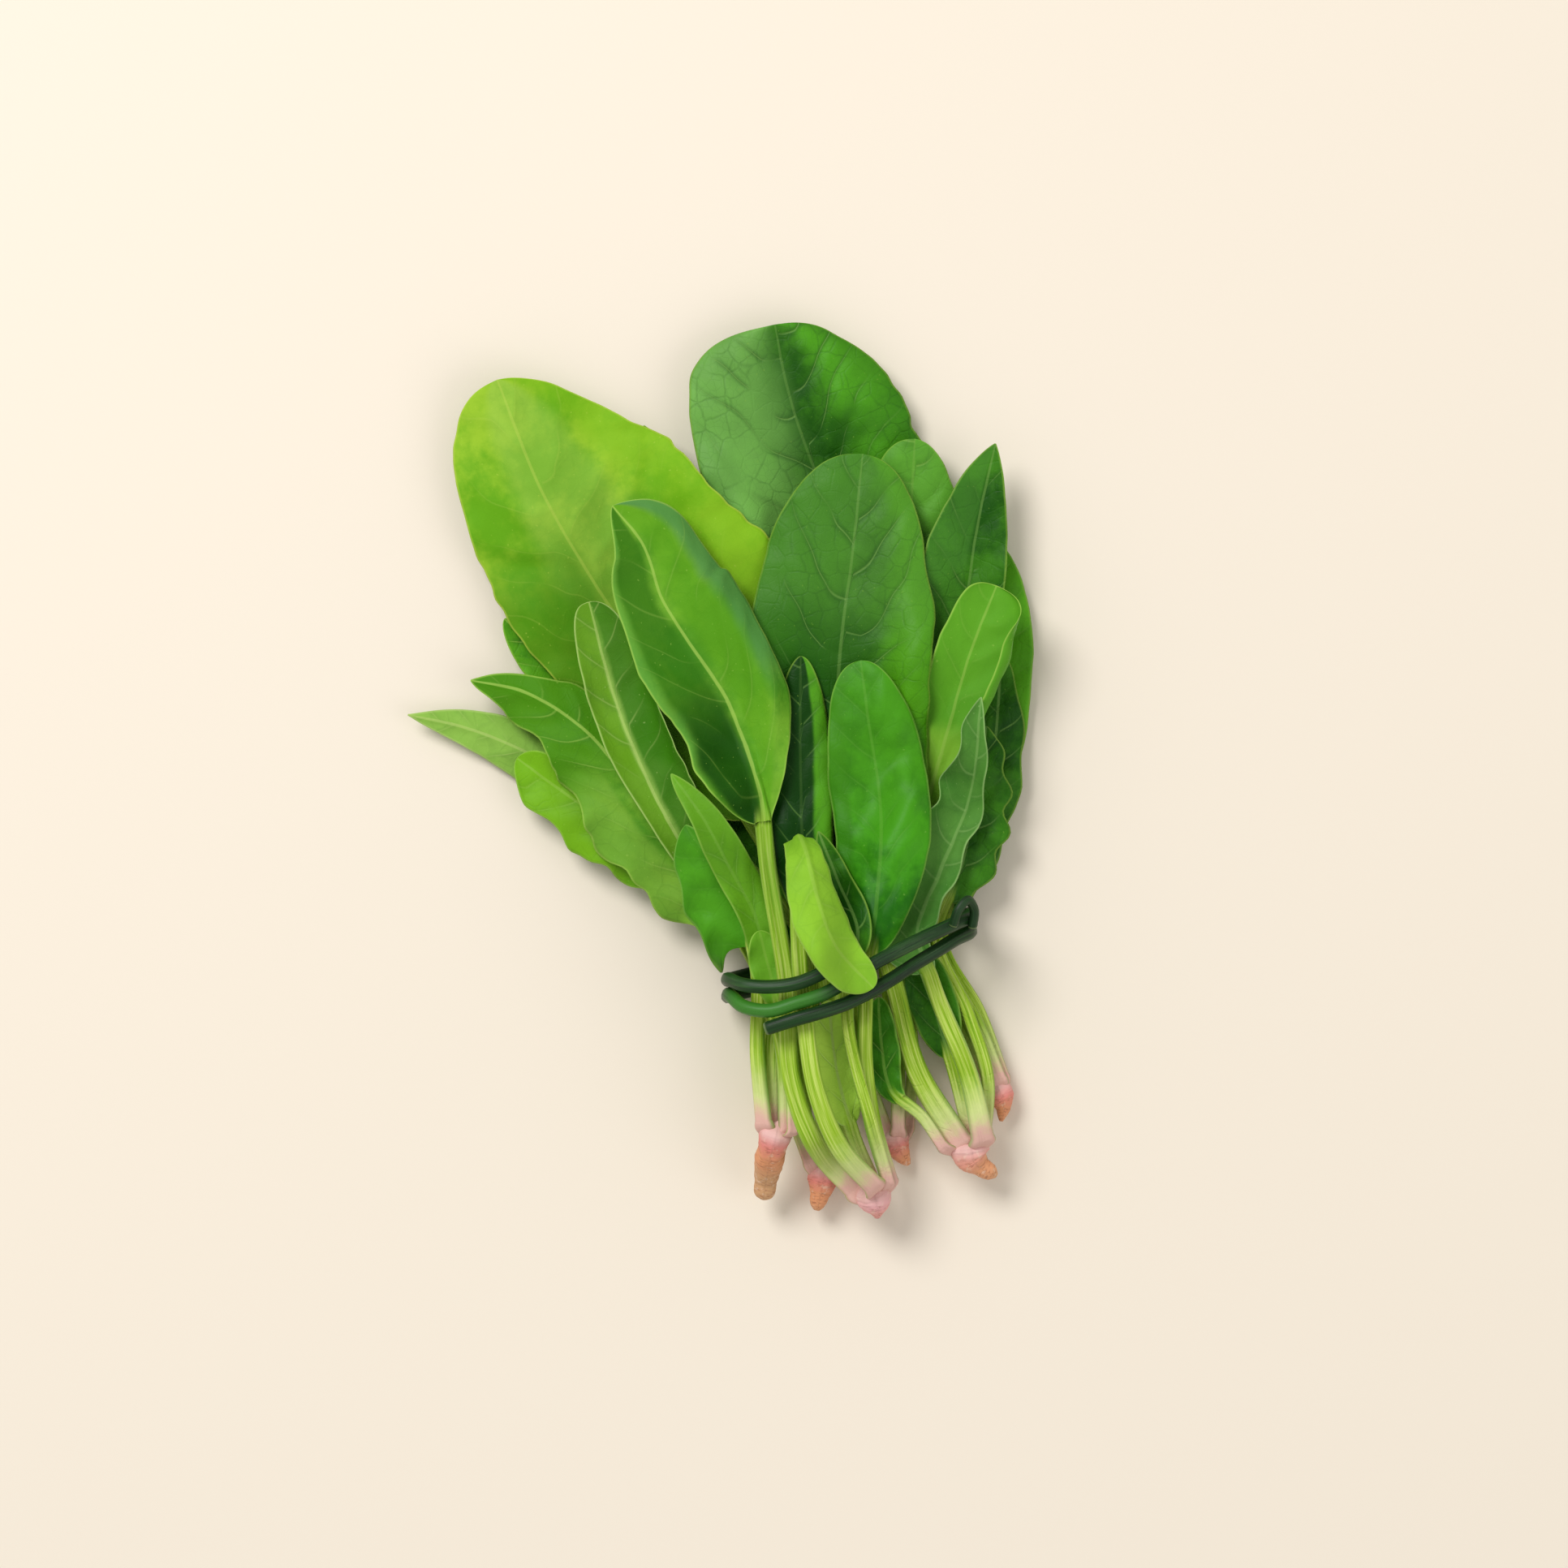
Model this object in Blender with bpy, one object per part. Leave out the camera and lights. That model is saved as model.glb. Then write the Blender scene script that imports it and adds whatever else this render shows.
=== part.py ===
"""A tied bunch of long-stalked leaves with their roots, lying on its back.

The bunch lies on the plane z = 0 with its leaf tips towards +Y and its front
face up. All lengths below are millimetres, measured from the middle of the tie,
and at the end the bunch is moved so that the origin is under its middle.
"""

import math
from dataclasses import dataclass

import bpy
import numpy as np

METRE = 0.001

# Blades and the room between pieces
BLADE_HALF = 0.42
GAP = 0.4
FLOOR_PRESS = 0.12

# Height map on which the pieces are laid one over another
CELL = 1.0
MAP_CORNER = (-155.0, -95.0)
MAP_CELLS = (230, 315)
SMOOTH_REACH = 4
SETTLE_ROUNDS = 7

# Across a leaf, from the left margin over the midrib to the right margin
ACROSS = (-1.0, -0.8, -0.48, -0.15, 0.0, 0.15, 0.48, 0.8, 1.0)
ACROSS_PLAIN = (-1.0, -0.55, -0.15, 0.0, 0.15, 0.55, 1.0)

# How late along its half width a basal lobe bends back
LOBE_BEND = 6.0

# How a blade opens, folds, curls and waves, as shares of its length or half width
BASE_RAMP = 0.12
FOLD_REACH = 0.08
SECTION_STEPS = 61
CURL_SPAN = 0.75
CURL_FULL = 0.35
CURL_OPENS = 0.82
CURL_OPENED = 0.75
SCALLOP_SHIFT = 1.7
WAVE_SIDE_SHIFT = 0.13
WAVE_LEAF_SHIFT = 0.1

# Stalks and midribs, as shares of a leaf's girth or length
FOOT_POWER = 2.0
RIB_START = 0.8
RIB_POWER = 0.7
RIB_LEAST = 0.9
RIB_HEIGHT = 0.85
RIB_SUNK = 0.7
RIB_SINKS = 0.25

# The tie
STRAND_RADIUS = 2.2
STRAND_SIDES = 8
STRAND_STEP = 5.5
STRAND_PRESSED = 0.3
TIE_LEFT = -36.4
TIE_RIGHT = 38.5
SIDE_IN = 0.6
SIDE_MIDDLE_UP = 1.0
SIDE_UP = 3.0
SIDE_DOWN = 3.6
BACK_IN = 4.0
BACK_DROP = 0.8
OVER_REACH = 5

# Crowns
ROOT_SIDES = 10
SEAT_CLEAR = 1.9


@dataclass
class Leaf:
    """One leaf: spine points run from just above the crown to the tip."""

    name: str
    tone: str
    seat: tuple
    spine: list
    stalk: float
    left: tuple
    right: tuple
    fold: float = 8.0
    cup: float = 15.0
    curl: tuple = (0.0, 0.0)
    curlFrom: float = 0.6
    roll: tuple = (0.0, 0.0)
    wave: float = 1.2
    waves: float = 2.5
    scallop: float = 0.02
    back: tuple = (0.0, 0.0)
    girth: float = 2.3
    foot: float = 1.0
    rows: tuple = (4, 9)
    across: tuple = ACROSS_PLAIN
    faceUp: bool = True
    side: tuple = None


@dataclass
class Plant:
    """One plant: its crown line runs from the leaf seats down to the root tip."""

    name: str
    crown: list
    girths: list
    leaves: list


BEHIND = Plant(
    "root_behind",
    [(15.0, -52.5, 4.9), (16.0, -56.5, 4.7), (17.6, -59.5, 4.5), (19.0, -61.5, 4.4)],
    [4.4, 4.2, 3.0, 1.6],
    [
        Leaf("leaf_back_middle", "leaf_mid", (-5.4, -1.2), [(4, -28, 6), (0, 2, 7.2), (-16, 45, 2),
             (-32, 85, 0.4), (-44, 118, 1.5)], 0.36, (17, 0.6, 0.6), (18, 0.6, 0.6), cup=6,
             rows=(4, 6), girth=1.9),
        Leaf("leaf_back_right", "leaf_mid", (5.4, -1.2), [(21, -28, 6), (18, 5, 7.2), (21, 45, 2),
             (20, 85, 0.4), (16, 118, 1.5)], 0.34, (17, 0.6, 0.6), (18, 0.6, 0.6), cup=6, rows=(4, 6),
             girth=1.9),
        Leaf("leaf_left_peek", "leaf_light", (-1.8, -1.2), [(3, -26, 6), (-6, 3, 7.2), (-22, 60, 5),
             (-40, 120, 5), (-64.0, 171, 9)], 0.45, (12, 0.8, 0.8), (14, 0.8, 0.8), fold=20,
             rows=(4, 7), girth=1.9),
        Leaf("leaf_top_broad", "leaf_dark", (1.8, -1.2), [(16, -28, 6), (12, 4, 7.2), (17, 60, 6),
             (13, 105, 6), (0, 136, 7), (-12, 162, 9), (-19, 184, 12), (-22.6, 202.5, 13)], 0.56,
             (34, 1.0, 0.34), (35, 0.5, 0.42), fold=10, cup=-22, wave=1.5, rows=(4, 11)),
    ],
)

FAR_RIGHT = Plant(
    "root_far_right",
    [(47.0, -37.0, 5.0), (48.6, -41.0, 4.8), (49.4, -44.5, 4.6), (49.0, -47.5, 4.4)],
    [4.6, 4.4, 2.6, 1.2],
    [
        Leaf("leaf_right_edge", "leaf_mid", (-1.4, -1.2), [(36, -18, 7), (24, 6, 8), (35, 50, 6),
             (43, 90, 5), (47, 134, 7)], 0.36, (13, 0.6, 0.6), (16, 0.6, 0.55), cup=-10, rows=(4, 7),
             girth=1.9),
        Leaf("leaf_top_peek", "leaf_mid", (-5.0, 2.2), [(30, -16, 10), (16, 5, 11), (15, 70, 10),
             (19, 120, 10), (21.5, 166.5, 13)], 0.52, (15, 0.8, 0.42), (16, 0.8, 0.5), cup=-20,
             rows=(4, 7), girth=1.9),
        Leaf("leaf_right_ribbed", "leaf_dark", (3.4, -1.2), [(42, -14, 7), (30.4, 8, 7.4), (38, 36, 8),
             (46, 66, 8), (49, 99, 9)], 0.4, (9, 0.5, 0.6), (10.5, 0.45, 0.6), cup=-25, wave=1.6,
             waves=4, scallop=0.08, rows=(4, 11), girth=1.9),
        Leaf("leaf_right_point", "leaf_dark", (1.6, 2.4), [(40, -16, 10), (22, 8, 11), (29, 55, 11),
             (36, 100, 11), (41, 138, 14), (46.8, 165, 17)], 0.42, (19, 0.8, 0.8), (13, 0.8, 0.8),
             fold=14, cup=8, girth=2.1, foot=1.2),
    ],
)

BACK_LEFT = Plant(
    "root_back_left",
    [(-7.0, -63.0, 5.0), (-7.6, -67.5, 4.8), (-8.4, -71.5, 4.4), (-9.2, -75.5, 4.0)],
    [4.6, 4.4, 3.2, 2.2],
    [
        Leaf("leaf_back_left", "leaf_mid", (-4.2, -1.2), [(-15, -28, 6), (-18, 2, 7.2), (-36, 42, 2),
             (-58, 74, 0.4), (-74, 98, 1.5)], 0.38, (13, 0.6, 0.6), (18, 0.6, 0.6), cup=6, rows=(4, 6),
             girth=1.9),
        Leaf("leaf_left_notch", "leaf_light", (0.0, -1.2), [(-10, -28, 6), (-12, 3, 7.2), (-48, 50, 6),
             (-84, 88, 5), (-108, 110, 8)], 0.5, (12, 0.8, 0.6), (12, 0.8, 0.7), rows=(4, 6),
             girth=1.9),
        Leaf("leaf_far_left", "leaf_pale", (-2.4, 2.4), [(-20, -26, 8), (-24, 2, 8), (-55, 34, 6),
             (-92, 63, 5), (-120, 75.5, 6), (-138.5, 79.7, 8)], 0.5, (9.5, 0.8, 0.9), (9.5, 0.8, 0.9),
             fold=-12, cup=5, rows=(4, 8), faceUp=False, girth=1.9),
        Leaf("leaf_low_left", "leaf_light", (-5.4, 2.0), [(-24, -26, 8), (-28.5, 0, 8), (-44, 22, 7),
             (-65, 40, 6), (-86, 53, 7), (-104, 66, 8)], 0.5, (15, 0.5, 0.5), (13, 0.6, 0.5), wave=1.8,
             waves=4, scallop=0.1, rows=(4, 12), girth=2.0),
        Leaf("leaf_left_great", "leaf_yellow", (3.0, 2.2), [(-4, -26, 10), (-9, 4, 12), (-34, 52, 11),
             (-60, 92, 10), (-80, 122, 11), (-96, 150, 14), (-110, 185, 16)], 0.42, (29.5, 0.55, 0.4),
             (54, 0.45, 0.62), fold=-7, cup=-8, wave=1.8, waves=2.5, scallop=0.03, rows=(4, 12),
             faceUp=False, across=ACROSS),
    ],
)

LEFT = Plant(
    "root_left",
    [(-22.0, -50.5, 9.0), (-23.2, -55.0, 8.4), (-24.4, -61.0, 7.6), (-25.4, -67.0, 6.8),
     (-26.0, -71.8, 6.0)],
    [6.0, 4.8, 4.3, 3.6, 2.8],
    [
        Leaf("leaf_left_long", "leaf_lit", (0.0, -1.4), [(-22, -28, 10), (-22, 0, 12), (-38, 20, 14),
             (-54, 38, 14), (-68, 58, 14), (-84, 76, 14), (-102, 87, 13), (-118.5, 90.5, 13)], 0.36,
             (19, 0.45, 0.75), (14, 0.5, 0.8), fold=-10, cup=-10, wave=2.0, waves=4, scallop=0.09,
             faceUp=False, rows=(4, 13), foot=1.1),
        Leaf("leaf_left_rolled", "leaf_pale", (-2.6, 2.4), [(-24, -26, 13), (-24, 0, 15),
             (-38, 18, 18), (-50, 36, 19), (-63, 60, 19), (-73, 85, 20), (-81, 115, 22)], 0.34,
             (9, 0.9, 0.3), (17, 0.6, 0.45), fold=14, cup=6, curl=(20, 50), curlFrom=0.38, wave=0.5,
             faceUp=False, rows=(4, 11), across=ACROSS, foot=1.3),
        Leaf("leaf_left_lobed", "leaf_bright", (-4.8, 0.4), [(-28, -28, 12), (-28.5, 1, 15),
             (-31, 12, 18), (-36, 23, 20), (-43, 34, 21), (-50.5, 45, 21)], 0.56, (15.5, 0.35, 0.6),
             (4.5, 0.5, 0.6), back=(15, 0), cup=-8, scallop=0.05, waves=3, girth=2.2, rows=(4, 11),
             across=ACROSS, foot=1.1),
        Leaf("leaf_left_sliver", "leaf_mid", (3.4, 2.4), [(-20, -26, 14), (-25.5, -2, 16),
             (-28, 14, 20), (-37, 32, 22), (-45, 47, 22), (-55, 61, 22)], 0.4, (5.5, 0.45, 0.6),
             (8, 0.5, 0.7), fold=18, cup=6, foot=1.4),
        Leaf("leaf_left_bud", "leaf_light", (4.8, 0.0), [(-18, -28, 12), (-22, -10, 15),
             (-27.5, 12, 20)], 0.6, (6, 0.6, 0.5), (6, 0.6, 0.5), girth=1.9, rows=(4, 6)),
    ],
)

RIGHT = Plant(
    "root_right",
    [(38.5, -55.5, 9.0), (39.3, -59.4, 8.4), (42.4, -62.8, 7.4), (46.2, -65.0, 6.4)],
    [6.8, 5.8, 3.3, 2.0],
    [
        Leaf("leaf_right_low", "leaf_dark", (5.6, -1.4), [(44.5, -36, 11), (38, -14, 12),
             (28, 10, 12.5), (36, 32, 14), (41, 54, 15), (44, 76, 16)], 0.58, (9, 0.5, 0.6),
             (11, 0.4, 0.6), cup=-14, wave=1.6, waves=4.5, scallop=0.14, rows=(4, 11), girth=2.1),
        Leaf("leaf_right_curled", "leaf_lit", (-4.4, -1.4), [(24, -36, 11), (15.6, 4, 12),
             (24, 46, 15), (32, 75, 18), (38.5, 98, 21), (47, 120, 23)], 0.5, (11.5, 1.0, 0.32),
             (18, 1.2, 0.32), fold=10, curl=(0, 110), curlFrom=0.55, roll=(0, 8), girth=2.5,
             faceUp=False, across=ACROSS, foot=1.1),
        Leaf("leaf_tucked_dark", "leaf_dark", (0.6, -1.4), [(34, -34, 11), (28, -14, 12), (21, 7, 14)],
             0.42, (8, 0.5, 0.5), (8, 0.5, 0.5), girth=1.9, fold=14, cup=5, rows=(4, 6)),
        Leaf("leaf_centre_oval", "leaf_dark", (-3.0, 2.4), [(22, -32, 14), (14.5, -4, 16), (4, 30, 17),
             (-3, 68, 17), (-2, 100, 19), (2, 132, 20), (5, 161.5, 19)], 0.36, (30.5, 0.42, 0.4),
             (29.5, 0.4, 0.46), fold=8, cup=-22, wave=1.4, waves=3, rows=(5, 10), girth=2.9, foot=1.4),


        Leaf("leaf_young_dark", "leaf_mid", (-8.6, 0.6), [(24, -47, 12), (14, -38, 13), (11, -24, 14),
             (10, -9, 15)], 0.36, (5.5, 0.5, 0.5), (5.5, 0.5, 0.5), girth=1.9, wave=1.5, waves=4,
             rows=(4, 7)),
        Leaf("leaf_right_pale", "leaf_glaucous", (4.6, 2.4), [(39, -36, 14), (26.5, -4, 16),
             (22, 10, 18), (29, 30, 20), (38, 52, 20), (42, 85, 20)], 0.38, (14, 0.4, 0.7),
             (6, 0.5, 0.8), fold=16, curl=(30, 0), wave=1.6, waves=5, scallop=0.14, girth=2.6,
             faceUp=False, rows=(4, 13), foot=1.4),
    ],
)

FRONT = Plant(
    "root_front",
    [(8.0, -69.5, 9.0), (8.8, -73.0, 8.4), (9.4, -76.0, 7.6), (9.6, -77.6, 7.2)],
    [5.8, 5.6, 3.6, 1.8],
    [
        Leaf("leaf_centre_dark", "leaf_dark", (-3.6, -1.6), [(-1, -44, 11), (-3, -4, 14),
             (-13, 30, 17), (-14.5, 60, 18), (-14.5, 98, 18)], 0.45, (10, 0.6, 0.6), (10, 0.6, 0.5),
             cup=-20, girth=2.1),
        Leaf("leaf_young_pale", "leaf_pale", (1.0, -1.6), [(2, -52, 11), (-3, -34, 12), (-6, -10, 13)],
             0.34, (8, 0.5, 0.5), (8, 0.5, 0.5), girth=2.0, wave=1.8, waves=4, rows=(4, 8)),
        Leaf("leaf_front_oval", "leaf_bright", (5.8, -1.6), [(8, -48, 11), (6, -8, 14), (8.5, 14, 17),
             (10.8, 48, 20), (6.5, 80, 22), (4.4, 96.5, 22)], 0.44, (15.5, 0.5, 0.42),
             (16, 0.55, 0.48), fold=6, cup=-26, wave=0.8, rows=(4, 10), foot=1.15),
        Leaf("leaf_centre_sliver", "leaf_dark", (5.4, 2.4), [(8, -50, 14), (0, -8, 17), (3.5, 12, 20),
             (-3, 28, 22), (-9, 43, 23)], 0.62, (5, 0.6, 0.7), (5, 0.6, 0.7), girth=1.9, rows=(5, 6)),
        Leaf("leaf_front_folded", "leaf_lit", (-6.0, 1.6), [(-7.5, -59, 12), (-17, -36, 14),
             (-19, -4, 17), (-24.5, 30, 20), (-28, 56, 22), (-38.6, 86, 24), (-48, 100, 25),
             (-58, 116, 26), (-64, 133, 27), (-73.5, 145, 28)], 0.52, (20, 0.5, 0.7), (26, 0.95, 0.68),
             fold=16, cup=4, curl=(0, -72), curlFrom=0.5, wave=0.9, waves=3, scallop=0.04, girth=2.7,
             rows=(5, 11), faceUp=False, across=ACROSS, foot=1.25),
        Leaf("leaf_over_tie", "leaf_lit", (0.4, 2.6), [(-1.5, -57, 15), (-9, -40, 16),
             (-13.4, -14, 18), (-15.2, 10, 20), (-15.4, 24, 22), (-15.6, 34, 23), (-15.2, 41, 30),
             (-13.2, 37, 38), (-9.6, 22, 37), (-4.0, 7.5, 34), (8.0, -5.5, 32)], 0.56, (9.5, 1.0, 0.4),
             (7.5, 1.0, 0.4), girth=2.5, wave=0.8, rows=(9, 10), side=(1.0, 0.25, 0.0), foot=1.35),
    ],
)

PLANTS = [BEHIND, FAR_RIGHT, BACK_LEFT, LEFT, RIGHT, FRONT]
BENT_OVER = "leaf_over_tie"
BENT_FROM_ROW = 10

# Front runs of the tie, left to right: cut end, middle and hidden end
RUN_CUT = [(-25.5, -18.5), (-15.0, -15.0), (-2.0, -11.2), (9.8, -5.4), (22.4, 2.4), (34.5, 9.6)]
RUN_MIDDLE = [(-33.0, -11.2), (-27.0, -12.8), (-15.7, -10.2), (-4.0, -6.0), (5.0, 0.0), (20.0, 8.0),
              (34.5, 14.6)]
RUN_HIDDEN = [(-33.0, -4.6), (-20.6, -5.2), (-9.0, -1.6), (-2.5, 2.4)]
LEFT_SIDES = (-8.8, -3.6)
RIGHT_SIDES = (11.6, 16.6)

# Colour, roughness
TONES = {
    "leaf_dark": ((0.035, 0.13, 0.012), 0.42),
    "leaf_mid": ((0.07, 0.22, 0.015), 0.45),
    "leaf_bright": ((0.06, 0.24, 0.012), 0.42),
    "leaf_light": ((0.14, 0.33, 0.02), 0.48),
    "leaf_lit": ((0.18, 0.38, 0.03), 0.5),
    "leaf_yellow": ((0.26, 0.46, 0.02), 0.5),
    "leaf_pale": ((0.26, 0.42, 0.08), 0.55),
    "leaf_glaucous": ((0.16, 0.30, 0.09), 0.5),
    "root_skin": ((0.72, 0.28, 0.14), 0.6),
    "tie_green": ((0.03, 0.09, 0.035), 0.38),
}


def clearScene():
    for thing in list(bpy.data.objects):
        bpy.data.objects.remove(thing)


def smoothStep(x):
    x = np.clip(x, 0.0, 1.0)
    return x * x * (3.0 - 2.0 * x)


def curveThrough(points, shares):
    """Points of a smooth curve through hand-picked points, at shares of its length."""
    points = np.array(points, float)
    knots = np.concatenate(([0.0], np.cumsum(np.linalg.norm(np.diff(points, axis=0), axis=1))))
    slopes = np.gradient(points, knots, axis=0)
    fine = np.linspace(0.0, knots[-1], 50 * len(points))
    k = np.clip(np.searchsorted(knots, fine, side="right") - 1, 0, len(knots) - 2)
    span = (knots[k + 1] - knots[k])[:, None]
    u = (fine[:, None] - knots[k][:, None]) / span
    line = ((1 + 2 * u) * (1 - u) ** 2 * points[k] + u * (1 - u) ** 2 * span * slopes[k]
            + u * u * (3 - 2 * u) * points[k + 1] + u * u * (u - 1) * span * slopes[k + 1])
    walked = np.concatenate(([0.0], np.cumsum(np.linalg.norm(np.diff(line, axis=0), axis=1))))
    marks = np.asarray(shares) * walked[-1]
    return np.stack([np.interp(marks, walked, line[:, axis]) for axis in range(line.shape[1])], axis=1)


def unit(vectors):
    return vectors / np.maximum(np.linalg.norm(vectors, axis=-1, keepdims=True), 1e-9)


def bladeWidth(share, half, base, tip):
    """Half width of a blade that swells from its base and closes at its tip."""
    peak = base / (base + tip)
    crest = peak ** base * (1.0 - peak) ** tip
    return half * share ** base * (1.0 - share) ** tip / crest


def crossSection(side, fold, cup, curl, curlFrom):
    """Offsets out and up along one half of a blade of width 1, at the given shares."""
    fine = np.linspace(0.0, 1.0, SECTION_STEPS)
    angle = fold * (1.0 - np.exp(-fine / FOLD_REACH)) + cup * fine
    angle = np.radians(angle + curl * smoothStep((fine - curlFrom) / (CURL_SPAN * (1.0 - curlFrom))))
    step = fine[1]
    out = np.concatenate(([0.0], np.cumsum(0.5 * step * (np.cos(angle[1:]) + np.cos(angle[:-1])))))
    up = np.concatenate(([0.0], np.cumsum(0.5 * step * (np.sin(angle[1:]) + np.sin(angle[:-1])))))
    return np.interp(side, fine, out), np.interp(side, fine, up)


class Sheet:
    """A leaf as a grid of middle points with a half thickness above and below."""

    def __init__(self, leaf, start):
        self.name = leaf.name
        self.tone = leaf.tone
        stalkRows, bladeRows = leaf.rows
        stalkShares = np.linspace(0.0, leaf.stalk, stalkRows, endpoint=False)
        rise = (1.0 - np.cos(np.pi * np.arange(bladeRows + 1) / bladeRows)) / 2.0
        shares = np.concatenate((stalkShares, leaf.stalk + (1.0 - leaf.stalk) * rise))
        centre = curveThrough([start] + leaf.spine, shares)
        ahead = unit(np.gradient(centre, axis=0))
        if leaf.side:
            aside = np.tile(np.array(leaf.side, float), (len(shares), 1))
            aside = unit(aside - ahead * np.sum(aside * ahead, axis=1, keepdims=True))
        else:
            aside = unit(np.cross(ahead, (0.0, 0.0, 1.0)))
        above = np.cross(aside, ahead)
        blade = np.clip((shares - leaf.stalk) / (1.0 - leaf.stalk), 0.0, 1.0)
        bank = np.radians(leaf.roll[0] + (leaf.roll[1] - leaf.roll[0]) * blade)[:, None]
        aside, above = (aside * np.cos(bank) + above * np.sin(bank),
                        above * np.cos(bank) - aside * np.sin(bank))

        upStalk = np.clip(shares / leaf.stalk, 0.0, 1.0)
        swell = 1.0 + (leaf.foot - 1.0) * (1.0 - upStalk) ** FOOT_POWER
        rib = leaf.girth * np.where(blade > 0, RIB_START * (1.0 - blade) ** RIB_POWER, swell)
        rib = np.maximum(rib, RIB_LEAST)
        across = np.array(leaf.across)
        rows = []
        thick = []
        for i, share in enumerate(blade):
            ramp = float(smoothStep(share / BASE_RAMP))
            opened = CURL_OPENED * smoothStep((share - CURL_OPENS) / (1.0 - CURL_OPENS))
            fade = float(smoothStep(share / CURL_FULL) * (1.0 - opened))
            row = np.zeros((len(across), 3))
            depth = np.zeros(len(across))
            for sign, shape, curl, back in ((-1, leaf.left, leaf.curl[0], leaf.back[0]),
                                            (1, leaf.right, leaf.curl[1], leaf.back[1])):
                mine = across * sign >= 0
                s = np.abs(across[mine])
                phase = 2 * np.pi * leaf.waves * share
                edge = 1.0 + leaf.scallop * ramp * math.sin(phase + SCALLOP_SHIFT * sign)
                width = math.hypot(rib[i], edge * bladeWidth(share, *shape) if share > 0 else 0.0)
                out, up = crossSection(s, leaf.fold * ramp, leaf.cup * ramp, curl * fade, leaf.curlFrom)
                phase += 2 * np.pi * (WAVE_SIDE_SHIFT * sign + WAVE_LEAF_SHIFT * len(leaf.name))
                ripple = leaf.wave * ramp * (width / shape[0]) * s ** 2 * math.sin(phase)
                sweep = back * ramp * (1.0 - share) ** 3 * s ** LOBE_BEND
                row[mine] = (centre[i] + sign * width * out[:, None] * aside[i]
                             + (width * up + ripple)[:, None] * above[i] - sweep[:, None] * ahead[i])
                bulge = np.sqrt(np.clip(1.0 - (width * s / rib[i]) ** 2, 0.0, 1.0))
                depth[mine] = bulge * max(RIB_HEIGHT * min(rib[i], leaf.girth) - BLADE_HALF, 0.0)
            rows.append(row)
            thick.append(depth)
        self.middle = np.array(rows)
        self.bulge = np.array(thick)
        sunk = 1.0 - RIB_SUNK * smoothStep(blade / RIB_SINKS)[:, None]
        upShare = sunk if leaf.faceUp else np.ones_like(sunk)
        downShare = np.ones_like(sunk) if leaf.faceUp else sunk
        self.halfUp = BLADE_HALF + self.bulge * upShare
        self.halfDown = BLADE_HALF + self.bulge * downShare
        self.faces = self.weave()

    def weave(self):
        """Triangles of the closed skin, split along the same diagonals on both faces."""
        rows, cols = self.middle.shape[:2]
        under = rows * cols
        faces = []

        def quad(a, b, c, d):
            faces.append((a, b, c))
            faces.append((a, c, d))

        for i in range(rows - 1):
            for j in range(cols - 1):
                a = i * cols + j
                b = a + 1
                c = a + cols + 1
                d = a + cols
                quad(a, b, c, d)
                faces.append((under + a, under + c, under + b))
                faces.append((under + a, under + d, under + c))
            first = i * cols
            last = first + cols - 1
            quad(first + cols, first + cols + under, first + under, first)
            quad(last, last + under, last + cols + under, last + cols)
        top = (rows - 1) * cols
        for j in range(cols - 1):
            quad(j + 1, j, j + under, j + 1 + under)
            quad(top + j, top + j + 1, top + j + 1 + under, top + j + under)
        return np.array(faces)

    def vertices(self):
        along = np.gradient(self.middle, axis=0)
        over = np.gradient(self.middle, axis=1)
        normal = unit(np.cross(over, along))
        level = unit(normal.mean(axis=1, keepdims=True))
        span = np.linalg.norm(self.middle[:, -1] - self.middle[:, 0], axis=1)
        narrow = smoothStep(1.6 - span / 10.0)[:, None, None]
        normal = unit(normal * (1.0 - narrow) + level * narrow)
        top = self.middle + normal * self.halfUp[..., None]
        bottom = self.middle - normal * self.halfDown[..., None]
        return np.concatenate((top.reshape(-1, 3), bottom.reshape(-1, 3)))

    def facesOf(self, firstRow, lastRow):
        """The triangles that lie between two rows."""
        rows, cols = self.middle.shape[:2]
        row = (self.faces % (rows * cols)) // cols
        return self.faces[np.all((row >= firstRow) & (row <= lastRow), axis=1)]

    def lift(self, field, weights=1.0):
        share = np.asarray(weights, float)
        if share.ndim:
            share = share[:, None]
        self.middle[..., 2] += share * readMap(field, self.middle[..., 0], self.middle[..., 1])


class Solid:
    """A closed round body with its own vertices and triangles."""

    def __init__(self, name, tone, line, radii, sides):
        self.name = name
        self.tone = tone
        self.points, self.faces = tubeSkin(np.array(line, float), radii, sides)

    def vertices(self):
        return self.points

    def lift(self, field):
        self.points[:, 2] += readMap(field, self.points[:, 0], self.points[:, 1])


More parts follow.
